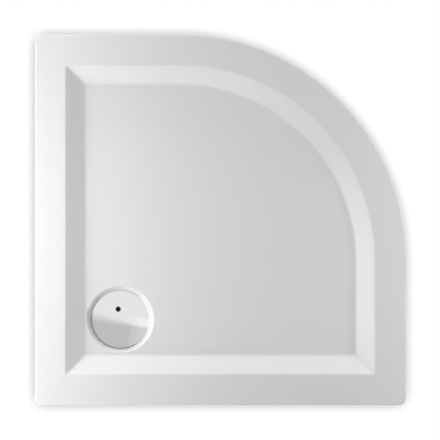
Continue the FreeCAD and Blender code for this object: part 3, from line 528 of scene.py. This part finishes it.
def hexagon_ring(centre, angle, flats, bore, low, high, bevelled=(True, True)):
    """Closed hexagon nut: the reach to the flats is half the width over the cosine of the angle from the
    nearest flat's middle, and a cone takes the corners off the bevelled ends."""
    turn = np.linspace(0, TURN, 6 * 8 + 1)
    reach = flats / 2 / np.cos(np.mod(turn, TURN / 6) - TURN / 12)
    face = END_FACE * flats / 2
    plain = (reach, 0)
    coned = (np.minimum(reach, face), (reach - face) * math.tan(END_CONE))
    low_reach, low_cone = coned if bevelled[0] else plain
    high_reach, high_cone = coned if bevelled[1] else plain
    mouth = bore + TURNED_EDGE
    rows = [
        (bore, low + TURNED_EDGE), (mouth, low), (low_reach, low), (reach, low + low_cone),
        (reach, high - high_cone), (high_reach, high), (mouth, high), (bore, high - TURNED_EDGE),
    ]
    rows.append(rows[0])
    grid = np.stack([around(centre, out, turn, z) for out, z in rows])
    return turned(grid, centre, angle)


def stud_surface(sizes, name):
    """Closed surface of a stud: a pin, then a thread whose radius rises and falls with height less turn."""
    centre = leg_place(name)
    low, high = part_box("stud_" + name)
    foot_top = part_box("foot_" + name)[1].z
    collar_top = foot_top + sizes.collar_height
    angle = np.linspace(0, TURN, 29)
    count = int((high.z - collar_top) / sizes.thread_pitch * 8)
    z = np.linspace(collar_top, high.z, count)[:, None]
    phase = np.mod(z / sizes.thread_pitch - angle / TURN, 1)
    flank = np.clip((1 - np.abs(2 * phase - 1) - THREAD_ROOT) / THREAD_FLANK, 0, 1)
    core = sizes.thread_radius - sizes.thread_depth
    thread = np.minimum(core + sizes.thread_depth * flank, core + high.z - z + THREAD_END)
    pin, pin_end = sizes.pin_radius, sizes.pin_radius - TURNED_EDGE
    ends = np.array([(0, low.z), (pin_end, low.z), (pin, low.z + TURNED_EDGE), (pin, collar_top)])
    reach = np.concatenate([ends[:, :1] + 0 * angle, thread, 0 * thread[:1]])
    height = np.concatenate([ends[:, 1:], z, z[-1:]])
    turn = LEG_TURNS.get(name, 0)
    collar = hexagon_ring(centre, turn, sizes.collar_flats, pin_end, foot_top, collar_top)
    return [around(centre, reach, angle, height), collar]


def foot_surface(sizes, name):
    """Closed surface of a foot turned from its outline. Its ribs are a clipped cosine of the angle, and rise
    on the cone as the root of a sine of the way up it."""
    low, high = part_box("foot_" + name)
    pad_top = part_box("pad_" + name)[1].z
    pin_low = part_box("stud_" + name)[0].z
    outer = (high.x - low.x) / 2
    seat = outer - sizes.foot_wall
    bore = sizes.pin_radius
    lower = rounded_profile([
        (0, pad_top, 0), (seat, pad_top, 0.3 * MM), (seat, low.z, 0.4 * MM), (outer, low.z, 0.8 * MM),
        (outer, low.z + sizes.foot_rim, 1.5 * MM), (sizes.neck_radius, sizes.foot_shoulder, 0),
    ])[:-1]
    upper = rounded_profile([
        (outer, low.z + sizes.foot_rim, 0), (sizes.neck_radius, sizes.foot_shoulder, 3 * MM),
        (sizes.neck_radius, high.z, 1 * MM), (bore, high.z, 0.4 * MM), (bore, pin_low, 0), (0, pin_low, 0),
    ])[1:]
    share = np.linspace(0, 1, 14)[1:-1, None]
    cone = lower[-1] + (upper[0] - lower[-1]) * share
    columns = 96
    grid = revolved(np.concatenate([lower, cone, upper]), leg_place(name), columns)
    angle = np.linspace(0, TURN, columns + 1)
    rib = np.clip((np.cos(RIBS * angle) - RIB_START) / RIB_FLANK, 0, 1)
    grid[len(lower):len(lower) + len(cone), :, 2] += RIB_HEIGHT * np.sin(np.pi * share) ** 0.5 * rib
    return grid


def pad_surface(name):
    """Closed disc with a rounded edge, and with ring grooves under it: a clipped cosine of the distance."""
    low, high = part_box("pad_" + name)
    outer = (high.x - low.x) / 2
    margin = outer - PAD_MARGIN
    reach = np.linspace(0, margin, 40)
    groove = GROOVE_DEPTH * np.clip(-np.cos(reach / GROOVE_PITCH * TURN), 0, 1)
    face = np.stack([reach, low.z + groove], axis=1)
    edge = rounded_profile([
        (margin, low.z, 0), (outer, low.z, 0.5 * MM), (outer, high.z, 0.3 * MM), (0, high.z, 0)
    ])
    return revolved(np.concatenate([face, edge]), leg_place(name))


def plate_surface(sizes, name):
    """Closed square plate with round corners, blended into the circle of its bore."""
    centre = leg_place(name)
    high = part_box("plate_" + name)[1].z
    low = high - sizes.plate_thickness
    half, corner = sizes.plate_side / 2, sizes.plate_corner
    share = np.linspace(0, 1, PLATE_STEPS, endpoint=False)

    def outline(inset):
        """Outline drawn in by an inset: a side with its quarter circle, turned to the four sides."""
        inner = half - corner
        side = np.stack([half - inset + 0 * share, -inner + 2 * inner * share, 0 * share], axis=-1)
        bend = around((inner, inner), corner - inset, share * TURN / 4, 0)
        quarter = np.concatenate([side, bend])
        ring = np.concatenate([turned(quarter, (0, 0), k * TURN / 4) for k in range(4)])
        return np.concatenate([ring, ring[:1]])

    rim, face = outline(0), outline(PLATE_EDGE)
    hole = around((0, 0), sizes.thread_radius, np.arctan2(rim[:, 1], rim[:, 0]), 0)
    rows = [(hole, high), (face, high), (rim, high - PLATE_EDGE)]
    rows += [(rim, low + PLATE_EDGE), (face, low), (hole, low), (hole, high)]
    grid = np.stack([ring + np.append(centre, z) for ring, z in rows])
    return turned(grid, centre, LEG_TURNS.get(name, 0))


def screw_surface(sizes, place, seat):
    """Closed pan-head screw: a point, a shank and a head domed by the root of one less a power of the reach,
    whose cross slot is two crossed soft boxes."""
    angle = np.linspace(0, TURN, 49)
    head = seat - sizes.plate_thickness
    tip = seat + sizes.screw_length
    shank = np.array([
        (0, tip), (sizes.screw_shank, tip - SCREW_POINT), (sizes.screw_shank, head), (sizes.screw_head, head)
    ])
    share = np.linspace(1, 0, 18)
    rise = HEAD_RIM + (1 - HEAD_RIM) * np.sqrt(1 - share ** HEAD_POWER)
    crown = np.stack([share * (sizes.screw_head - HEAD_EDGE), head - sizes.screw_height * rise], axis=1)
    profile = np.concatenate([shank, crown])
    grid = around((0, 0), profile[:, :1], angle, profile[:, 1:])

    def soft_box(aside, along):
        """Share of the slot's depth, which falls from 1 to 0 over the slopes of an arm."""
        across = np.clip((ARM_WIDTH - np.abs(aside)) / ARM_FLANK + 0.5, 0, 1)
        return across * np.clip((ARM_LENGTH - np.abs(along)) / ARM_END + 0.5, 0, 1)

    x, y = grid[len(shank):, :, 0], grid[len(shank):, :, 1]
    grid[len(shank):, :, 2] += ARM_DEPTH * np.maximum(soft_box(x, y), soft_box(y, x))
    return grid + np.append(place, 0)


# Trap

# Radii of the outlet nut's bore and of its lip round the pipe
NUT_BORE = 24.8 * MM
NUT_LIP = 20.6 * MM
# Flutes of its grip, their depth, the power of their cosine, and how far in from the edge they reach
FLUTES = 14
FLUTE_DEPTH = 1.8 * MM
FLUTE_POWER = 1.5
FLUTE_REACH = 2.2 * MM


def outlet_nut_surface():
    """Closed nut about the outlet's axis, which lies along Y: the reach of the grip is drawn in by a
    power of a cosine at each flute."""
    low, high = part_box("outlet_nut")
    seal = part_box("outlet_seal")[0].y
    centre = ((low.x + high.x) / 2, (low.z + high.z) / 2)
    outer = (high.z - low.z) / 2
    profile = rounded_profile([
        (NUT_BORE, high.y, 0), (outer, high.y, 1.2 * MM), (outer, low.y, 2 * MM), (NUT_LIP, low.y, 0.8 * MM),
        (NUT_LIP, seal, 0), (NUT_BORE, seal, 0), (NUT_BORE, high.y, 0),
    ])
    angle = np.linspace(0, TURN, FLUTES * 10 + 1)
    flute = np.clip(np.cos(FLUTES * angle), 0, 1) ** FLUTE_POWER
    reach = profile[:, :1] - FLUTE_DEPTH * flute * (profile[:, :1] > outer - FLUTE_REACH)
    return around(centre, reach, angle, profile[:, 1:])[..., [0, 2, 1]]


# Finishes

# Bands that a wave texture draws in one cell of its scale
WAVE_BANDS = 3


def add_node(tree, kind, sockets=None, **settings):
    """Adds a node with its settings, and sets or links its sockets, a node's by its first output."""
    node = tree.nodes.new("ShaderNode" + kind)
    for name, value in settings.items():
        setattr(node, name, value)
    for name, value in (sockets or {}).items():
        if isinstance(value, bpy.types.Node):
            value = next(output for output in value.outputs if output.enabled)
        if isinstance(value, bpy.types.NodeSocket):
            tree.links.new(value, node.inputs[name])
        else:
            node.inputs[name].default_value = value
    return node


def make_finish(recipe, *details, name=None, **measures):
    """Material, named for its recipe unless it has a name of its own, whose surface is the shader that the
    recipe adds to its tree from the object's coordinates."""
    material = bpy.data.materials.new(name or recipe.__name__)
    material.use_nodes = True
    material.node_tree.nodes.clear()
    add = functools.partial(add_node, material.node_tree)
    place = add("TexCoord").outputs["Object"]
    add("OutputMaterial", {"Surface": recipe(add, place, *details, **measures)})
    return material


def per_size(millimetres):
    """Scale at which one cell of a pattern measures the given millimetres."""
    return 1 / (millimetres * MM)


def shaded(colour, factor):
    """Opaque colour whose channels are multiplied by a factor and end at 1."""
    return (*(min(1, channel * factor) for channel in colour[:3]), 1)


def cast_acrylic(add, place, colours):
    """Thermoformed cast acrylic: soft gloss over opaque white, with the faint waviness of drawn sheet."""
    drift = add("TexNoise", {"Vector": place, "Scale": per_size(160), "Detail": 2})
    tones = {"Factor": drift, "A": shaded(colours.acrylic, 0.985), "B": colours.acrylic}
    colour = add("Mix", tones, data_type="RGBA")
    peel = add("TexNoise", {"Vector": place, "Scale": per_size(7), "Detail": 1})
    bump = add("Bump", {"Height": peel, "Strength": 0.1, "Distance": 0.05 * MM})
    haze = add("MapRange", {"Value": drift, "To Min": 0.2, "To Max": 0.26})
    return add("BsdfPrincipled", {"Base Color": colour, "Roughness": haze, "IOR": 1.49, "Normal": bump})


def glass_resin(add, place, colours):
    """Polyester resin rolled over chopped glass: cream, half gloss, with pale strands lying every way."""
    strands = None
    for turn in (0.0, 0.9, 1.9, 2.6):
        laid = add("Mapping", {
            "Vector": place, "Rotation": (0, 0, turn), "Location": (turn, turn, 0), "Scale": (1, 12, 1)
        })
        noise = add("TexNoise", {"Vector": laid, "Scale": per_size(22), "Detail": 2})
        sharp = add("MapRange", {"Value": noise, "From Min": 0.56, "From Max": 0.66})
        strands = add("Math", {0: strands, 1: sharp}, operation="MAXIMUM") if strands else sharp
    tones = {"Factor": strands, "A": colours.resin, "B": colours.strand}
    colour = add("Mix", tones, data_type="RGBA")
    bump = add("Bump", {"Height": strands, "Strength": 0.6, "Distance": 0.3 * MM})
    wet = add("MapRange", {"Value": strands, "To Min": 0.32, "To Max": 0.5})
    return add("BsdfPrincipled", {"Base Color": colour, "Roughness": wet, "IOR": 1.55, "Normal": bump})


def chipboard(add, place, colours):
    """Raw chipboard: flat pressed chips, each of its own tone, with darker glue between them."""
    chips = add("TexVoronoi", {"Vector": place, "Scale": per_size(5), "Randomness": 1.0})
    tone = add("SeparateColor", {"Color": chips.outputs["Color"]})
    tones = {"Factor": tone.outputs["Red"], "A": colours.chip_dark, "B": colours.chip_light}
    colour = add("Mix", tones, data_type="RGBA")
    bump = add("Bump", {"Height": tone.outputs["Green"], "Strength": 0.35, "Distance": 0.25 * MM})
    return add("BsdfPrincipled", {"Base Color": colour, "Roughness": 0.82, "Normal": bump})


def sawn_softwood(add, place, colours):
    """Sawn softwood: bands of early and late wood along the grain, with the saw's fine furrows across."""
    grain = add("TexWave", {
        "Vector": place, "Scale": per_size(9) / WAVE_BANDS,
        "Distortion": 3.5, "Detail": 2, "Detail Scale": 0.6,
    }, bands_direction="Y")
    tones = {"Factor": grain.outputs["Fac"], "A": colours.wood_late, "B": colours.wood_early}
    colour = add("Mix", tones, data_type="RGBA")
    cuts = {"Vector": place, "Scale": per_size(1.6) / WAVE_BANDS, "Distortion": 1.5}
    furrow = add("TexWave", cuts, bands_direction="X")
    bump = add("Bump", {"Height": furrow.outputs["Fac"], "Strength": 0.4, "Distance": 0.15 * MM})
    return add("BsdfPrincipled", {"Base Color": colour, "Roughness": 0.75, "Normal": bump})


def zinc_plate(add, place, colours):
    """Bright zinc plate on pressed steel: a dull metal with the clouds of its passivation."""
    cloud = add("TexNoise", {"Vector": place, "Scale": per_size(9), "Detail": 4})
    tones = {"Factor": cloud, "A": shaded(colours.zinc, 0.8), "B": colours.zinc}
    colour = add("Mix", tones, data_type="RGBA")
    rough = add("MapRange", {"Value": cloud, "To Min": 0.24, "To Max": 0.46})
    return add("BsdfPrincipled", {"Base Color": colour, "Metallic": 1.0, "Roughness": rough})


def moulded(add, place, colour, grain, roughness, depth, ior):
    """Moulded polymer: an even colour that drifts a little, and its tool's grain, in millimetres."""
    drift = add("TexNoise", {"Vector": place, "Scale": per_size(30), "Detail": 3})
    tones = {"Factor": drift, "A": shaded(colour, 0.9), "B": shaded(colour, 1.06)}
    tone = add("Mix", tones, data_type="RGBA")
    pits = add("TexNoise", {"Vector": place, "Scale": per_size(grain), "Detail": 2})
    bump = add("Bump", {"Height": pits, "Strength": 0.5, "Distance": depth * MM})
    rough = add("MapRange", {"Value": pits, "To Min": roughness - 0.06, "To Max": roughness + 0.06})
    return add("BsdfPrincipled", {"Base Color": tone, "Roughness": rough, "IOR": ior, "Normal": bump})


def chrome_plate(add, place, colours):
    """Chrome plate over polished brass: a clear mirror with a trace of polishing haze."""
    haze = add("TexNoise", {"Vector": place, "Scale": per_size(24), "Detail": 3})
    rough = add("MapRange", {"Value": haze, "To Min": 0.05, "To Max": 0.11})
    wave = add("TexNoise", {"Vector": place, "Scale": per_size(30), "Detail": 1})
    bump = add("Bump", {"Height": wave, "Strength": 0.3, "Distance": 0.12 * MM})
    return add("BsdfPrincipled", {
        "Base Color": colours.chrome, "Metallic": 1.0, "Roughness": rough, "Normal": bump
    })


def finish_nodes(names, material):
    """Gives CAD nodes that are shown as they are a finish."""
    for name in names:
        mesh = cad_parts[name].data
        mesh.materials.clear()
        mesh.materials.append(material)


# Operators

class TRAY_OT_shell(bpy.types.Operator):
    """Builds the formed acrylic shell with its resin underside."""

    bl_idname = "tray.shell"
    bl_label = "Formed shell"

    def execute(self, context):
        colours = context.scene.tray_colours
        surface, rows_finish = shell_surface(context.scene.tray_shell)
        finishes = [make_finish(cast_acrylic, colours), make_finish(glass_resin, colours)]
        make_piece("formed_shell", "tray", ["tray_shell"], [surface], finishes, rows_finish)
        return {"FINISHED"}


class TRAY_OT_backing(bpy.types.Operator):
    """Finishes the resin backing, the base board and the rim blocks."""

    bl_idname = "tray.backing"
    bl_label = "Backing, board and blocks"

    def execute(self, context):
        colours = context.scene.tray_colours
        finish_nodes(["resin_backing"], bpy.data.materials["glass_resin"])
        finish_nodes(["base_board"], make_finish(chipboard, colours))
        blocks = ["block_" + name for name in LEGS if name != "middle"]
        finish_nodes(blocks, make_finish(sawn_softwood, colours))
        return {"FINISHED"}


class TRAY_OT_legs(bpy.types.Operator):
    """Builds the studs, nuts, plates, feet, pads and screws of the five legs."""

    bl_idname = "tray.legs"
    bl_label = "Leg set"

    def execute(self, context):
        colours = context.scene.tray_colours
        sizes = context.scene.tray_legs
        zinc = make_finish(zinc_plate, colours)
        nylon = make_finish(
            moulded, colours.nylon, name="glass_filled_nylon", grain=0.8, roughness=0.5, depth=0.06, ior=1.53
        )
        rubber = make_finish(
            moulded, colours.rubber, name="black_rubber", grain=1.2, roughness=0.78, depth=0.08, ior=1.52
        )
        screws = []
        for name in LEGS:
            centre, angle = leg_place(name), LEG_TURNS.get(name, 0)
            plate_low, plate_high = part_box("plate_" + name)
            nut_low, nut_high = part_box("lock_nut_" + name)
            sheet = plate_high.z - sizes.plate_thickness
            bore = sizes.thread_radius - sizes.thread_depth / 2
            weld_nut = hexagon_ring(centre, angle, sizes.nut_flats, bore, plate_low.z, sheet, (True, False))
            plate = [plate_surface(sizes, name), weld_nut]
            piece = make_piece("leg_plate_" + name, "tray", ["plate_" + name], plate, [zinc])
            soften(piece)
            nut = [hexagon_ring(centre, angle, sizes.nut_flats, bore, nut_low.z, nut_high.z - sizes.nut_gap)]
            body = "lock_nut_" + name
            soften(make_piece("leg_" + body, body, [body], nut, [zinc]))
            stud = "stud_" + name
            make_piece("threaded_" + stud, stud, [stud], stud_surface(sizes, name), [zinc])
            foot = "foot_" + name
            make_piece("ribbed_" + foot, foot, [foot], [foot_surface(sizes, name)], [nylon])
            make_piece("grooved_pad_" + name, foot, ["pad_" + name], [pad_surface(name)], [rubber])
            step = sizes.screw_pitch / 2
            corners = np.array([[sx * step, sy * step, 0] for sx in (-1, 1) for sy in (-1, 1)])
            for corner in turned(corners, (0, 0), angle):
                screws.append(screw_surface(sizes, centre + corner[:2], plate_high.z))
        make_piece("pan_head_screws", "tray", ["leg_screws"], screws, [zinc])
        return {"FINISHED"}


class TRAY_OT_trap(bpy.types.Operator):
    """Finishes the trap, builds its outlet nut and finishes the insert that lifts out."""

    bl_idname = "tray.trap"
    bl_label = "Waste trap"

    def execute(self, context):
        colours = context.scene.tray_colours
        tool = {"grain": 1.0, "depth": 0.04, "ior": 1.49}
        white = make_finish(moulded, colours.trap, name="white_polypropylene", roughness=0.4, **tool)
        grey = make_finish(moulded, colours.insert, name="grey_polypropylene", roughness=0.45, **tool)
        rubber = bpy.data.materials["black_rubber"]
        finish_nodes(["trap_body", "clamp_flange"], white)
        finish_nodes(["dip_tube", "hair_strainer"], grey)
        finish_nodes(["flange_gasket", "body_gasket", "outlet_seal", "dip_tube_oring"], rubber)
        nut = [outlet_nut_surface()]
        make_piece("fluted_outlet_nut", "outlet_nut", ["outlet_nut"], nut, [white])
        return {"FINISHED"}


class TRAY_OT_cover(bpy.types.Operator):
    """Builds the domed waste cover with its lift hole and posts."""

    bl_idname = "tray.cover"
    bl_label = "Waste cover"

    def execute(self, context):
        sizes = context.scene.tray_cover
        surfaces = [cover_surface(sizes)] + cover_posts(sizes)
        chrome = make_finish(chrome_plate, context.scene.tray_colours)
        make_piece("domed_cover", "waste_cover", ["waste_cover"], surfaces, [chrome])
        return {"FINISHED"}


# Stage

# Width that the picture spans at the rim's height, in metres, and the lens and sensor that see it, in mm
FRAME_WIDTH = 1.0688
LENS = 300.0
SENSOR = 36.0
# Middle of the tray in the picture, in pixels of a 440 by 440 frame
PICTURE = 440
TRAY_MIDDLE = (220.25, 219.75)


class TRAY_OT_stage(bpy.types.Operator):
    """Sets the camera straight over the tray, a white floor and soft studio lamps."""

    bl_idname = "tray.stage"
    bl_label = "Stage"

    def execute(self, context):
        scene = context.scene
        camera = bpy.data.cameras.new("overhead")
        camera.lens = LENS
        camera.sensor_width = SENSOR
        camera.clip_end = 100
        overhead = bpy.data.objects.new("overhead", camera)
        distance = FRAME_WIDTH * LENS / SENSOR
        pixel = FRAME_WIDTH / PICTURE
        across = (PICTURE / 2 - TRAY_MIDDLE[0]) * pixel
        up = (TRAY_MIDDLE[1] - PICTURE / 2) * pixel
        overhead.location = (across, up, tray_high.z + distance)
        scene.collection.objects.link(overhead)
        scene.camera = overhead
        scene.view_settings.view_transform = "Standard"
        floor = make_floor(scene)
        make_lamps(scene, floor)
        make_world(scene)
        return {"FINISHED"}


# Half the floor's width, and the greys that it throws back and shows to the eye
FLOOR_REACH = 40.0
FLOOR_THROWN = (0.105, 0.105, 0.105, 1)
FLOOR_SEEN = (0.45, 0.45, 0.45, 1)


def white_paper(add, _):
    """Paper that is white to the eye and in gloss, and clear from below. It throws little light back, so
    that the skirt keeps its shading."""
    ray = add("LightPath").outputs
    mirrored = add("Math", {0: ray["Is Glossy Ray"], 1: ray["Is Transmission Ray"]}, operation="MAXIMUM")
    seen = add("Math", {0: ray["Is Camera Ray"], 1: mirrored}, operation="MAXIMUM")
    white = add("Mix", {"Factor": seen, "A": FLOOR_THROWN, "B": FLOOR_SEEN}, data_type="RGBA")
    paper = add("BsdfDiffuse", {"Color": white})
    behind = add("NewGeometry").outputs["Backfacing"]
    return add("MixShader", {0: behind, 1: paper, 2: add("BsdfTransparent")})


def make_floor(scene):
    """Wide paper floor at the height of the pads."""
    mesh = bpy.data.meshes.new("studio_floor")
    corners = FLOOR_REACH * np.array([(-1, -1, 0), (1, -1, 0), (1, 1, 0), (-1, 1, 0)])
    mesh.from_pydata(corners, [], [(0, 1, 2, 3)])
    mesh.materials.append(make_finish(white_paper))
    floor = bpy.data.objects.new("studio_floor", mesh)
    scene.collection.objects.link(floor)
    return floor


# Point that the lamps and the windows face
RIM = (0.0, 0.0, 0.15)
# Name, place, width, depth and watts of each lamp, whether it shows in the gloss of the acrylic, and
# whether the floor and the cover cast no shadow in it
LAMPS = (
    ("left_strip", (-0.75, 0.0, 0.45), 0.6, 0.3, 0.92, False, True),
    ("left_box", (-0.9, 0.0, 0.8), 1.0, 0.4, 4.65, True, True),
    ("front_left_box", (-0.95, -0.9, 0.45), 0.5, 0.3, 4.81, False, True),
    ("back_left_box", (-0.95, 0.9, 0.45), 0.5, 0.3, 2.5, False, False),
    ("back_box", (0.0, 1.5, 1.0), 1.4, 0.5, 3.2, False, False),
    ("back_low_box", (-0.8, 4.0, 0.6), 2.0, 0.6, 58.0, False, False),
    ("front_left_low_box", (-2.3, -3.4, 0.6), 2.0, 0.6, 15.0, False, False),
    ("front_box", (0.0, -1.5, 1.0), 1.4, 0.5, 2.55, True, False),
    ("right_strip", (1.0, 0.0, 0.55), 1.2, 0.3, 4.1, False, False),
)
# The same of a soft light under the floor, which is clear from below, for the legs and the underside
UNDER_LAMP = ("under_box", (0.0, 0.0, -1.4), 2.0, 2.0, 9.0)
# Pale windows that show in the gloss of everything but the cover: name, place, width, depth and watts
WINDOWS = (
    ("left_window", (-2.4, 0.9, 1.3), 2.2, 1.6, 2.5),
    ("right_window", (2.4, -0.9, 1.3), 2.2, 1.6, 7.7),
    ("corner_window", (-0.9, 0.9, 1.65), 0.85, 0.5, 4.6),
    ("back_window", (0.0, 2.6, 1.6), 2.4, 0.8, 10.0),
    ("front_window", (0.0, -2.6, 1.25), 2.2, 1.2, 6.6),
)
# Pale cards that show in the polished cover alone: name, place, point faced, shape, width, depth, turn in
# degrees and watts
CARDS = (
    ("ceiling_card", (-0.335, -0.335, 3.5), (-0.335, -0.335, 0.0), "DISK", 3.22, 3.22, 0.0, 9.98),
    ("back_card_1", (0.526, 1.972, 3.4), (0.526, 1.972, 0.0), "RECTANGLE", 7.0, 5.0, -15.8, 11.4),
    ("back_card_2", (0.365, 1.939, 3.37), (0.365, 1.939, 0.0), "RECTANGLE", 7.0, 5.0, -12.4, 11.4),
    ("back_card_3", (0.187, 1.891, 3.34), (0.187, 1.891, 0.0), "RECTANGLE", 7.0, 5.0, -8.6, 11.4),
    ("front_card_1", (1.6, -1.2, 3.31), (1.6, -1.2, 0.0), "RECTANGLE", 3.0, 1.5, -9.0, 0.85),
    ("front_card_2", (1.9, -1.2, 3.28), (1.9, -1.2, 0.0), "RECTANGLE", 3.0, 1.5, -9.0, 0.85),
    ("right_high_card", (2.0, -0.9, 3.6), (0.0, -0.9, 3.6), "RECTANGLE", 7.4, 3.0, 0.0, 66.0),
    ("right_low_card", (2.0, -0.9, 1.1), (0.0, -0.9, 1.1), "RECTANGLE", 7.4, 2.0, 0.0, 25.0),
    ("back_wall_card", (-0.24, 2.0, 1.2), (-0.24, 0.0, 1.2), "RECTANGLE", 3.0, 2.4, 0.0, 13.0),
)
# Name, spread in degrees and strength of a sun straight over the floor, whose shadow hugs the outline
FLOOR_LAMP = ("floor_lamp", 23.0, 6.35)
WORLD_LEVEL = 0.212


def add_lamp(scene, name, place, faced, width, depth, watts, shape="RECTANGLE"):
    """Area lamp that no camera sees, turned towards a point."""
    lamp = bpy.data.lights.new(name, "AREA")
    lamp.shape = shape
    lamp.size = width
    lamp.size_y = depth
    lamp.energy = watts
    holder = bpy.data.objects.new(name, lamp)
    holder.location = place
    holder.rotation_euler = (Vector(faced) - holder.location).to_track_quat("-Z", "Y").to_euler()
    holder.visible_camera = False
    scene.collection.objects.link(holder)
    return holder


def link_light(holder, objects, state):
    """Links a lamp to a few objects, or to all but those."""
    linked = bpy.data.collections.new(holder.name + "_lights")
    for item in objects:
        linked.objects.link(item)
    for item in linked.collection_objects:
        item.light_linking.link_state = state
    holder.light_linking.receiver_collection = linked
    return linked


def make_lamps(scene, floor):
    """Soft lamps on the tray, windows in its gloss, cards in its cover, and a sun on the floor alone."""
    cover = bpy.data.objects["domed_cover"]
    for name, place, width, depth, watts, glossy, passes in LAMPS:
        holder = add_lamp(scene, name, place, RIM, width, depth, watts)
        holder.visible_glossy = glossy
        linked = link_light(holder, [floor, cover], "EXCLUDE")
        if passes:
            holder.light_linking.blocker_collection = linked
    name, place, width, depth, watts = UNDER_LAMP
    holder = add_lamp(scene, name, place, RIM, width, depth, watts)
    holder.light_linking.blocker_collection = link_light(holder, [floor], "EXCLUDE")
    for name, place, width, depth, watts in WINDOWS:
        holder = add_lamp(scene, name, place, RIM, width, depth, watts)
        holder.visible_diffuse = False
        link_light(holder, [floor, cover], "EXCLUDE")
    for name, place, faced, shape, width, depth, turn, watts in CARDS:
        holder = add_lamp(scene, name, place, faced, width, depth, watts, shape)
        holder.rotation_euler.rotate_axis("Z", math.radians(turn))
        holder.visible_diffuse = False
        link_light(holder, [cover], "INCLUDE")
    name, spread, strength = FLOOR_LAMP
    lamp = bpy.data.lights.new(name, "SUN")
    lamp.angle = math.radians(spread)
    lamp.energy = strength
    holder = bpy.data.objects.new(name, lamp)
    scene.collection.objects.link(holder)
    link_light(holder, [floor], "INCLUDE")


def make_world(scene):
    """Even grey of a studio's ceiling and walls."""
    world = bpy.data.worlds.new("studio")
    world.use_nodes = True
    world.node_tree.nodes.clear()
    add = functools.partial(add_node, world.node_tree)
    soft = add("Background", {"Color": (1, 1, 1, 1), "Strength": WORLD_LEVEL})
    add("OutputWorld", {"Surface": soft})
    scene.world = world


class TRAY_PT_panel(bpy.types.Panel):
    """Lists the steps that build the tray."""

    bl_idname = "TRAY_PT_panel"
    bl_label = "Quadrant tray"
    bl_space_type = "VIEW_3D"
    bl_region_type = "UI"
    bl_category = "Tray"

    def draw(self, context):
        for operator in OPERATORS:
            self.layout.operator(operator.bl_idname)


GROUPS = {
    "tray_shell": ShellSizes,
    "tray_cover": CoverSizes,
    "tray_legs": LegSizes,
    "tray_colours": TrayColours,
}
OPERATORS = (TRAY_OT_shell, TRAY_OT_backing, TRAY_OT_legs, TRAY_OT_trap, TRAY_OT_cover, TRAY_OT_stage)
CLASSES = (*GROUPS.values(), *OPERATORS, TRAY_PT_panel)


def register():
    """Registers the classes and hangs the property groups on the scene."""
    for item in CLASSES:
        bpy.utils.register_class(item)
    for name, group in GROUPS.items():
        setattr(bpy.types.Scene, name, bpy.props.PointerProperty(type=group))


def unregister():
    """Takes the property groups and the classes away again."""
    for name in GROUPS:
        delattr(bpy.types.Scene, name)
    for item in reversed(CLASSES):
        bpy.utils.unregister_class(item)


def main():
    """Builds the pieces and the stage in order."""
    register()
    bpy.ops.tray.shell()
    bpy.ops.tray.backing()
    bpy.ops.tray.legs()
    bpy.ops.tray.trap()
    bpy.ops.tray.cover()
    bpy.ops.tray.stage()


if __name__ == "__main__":
    main()
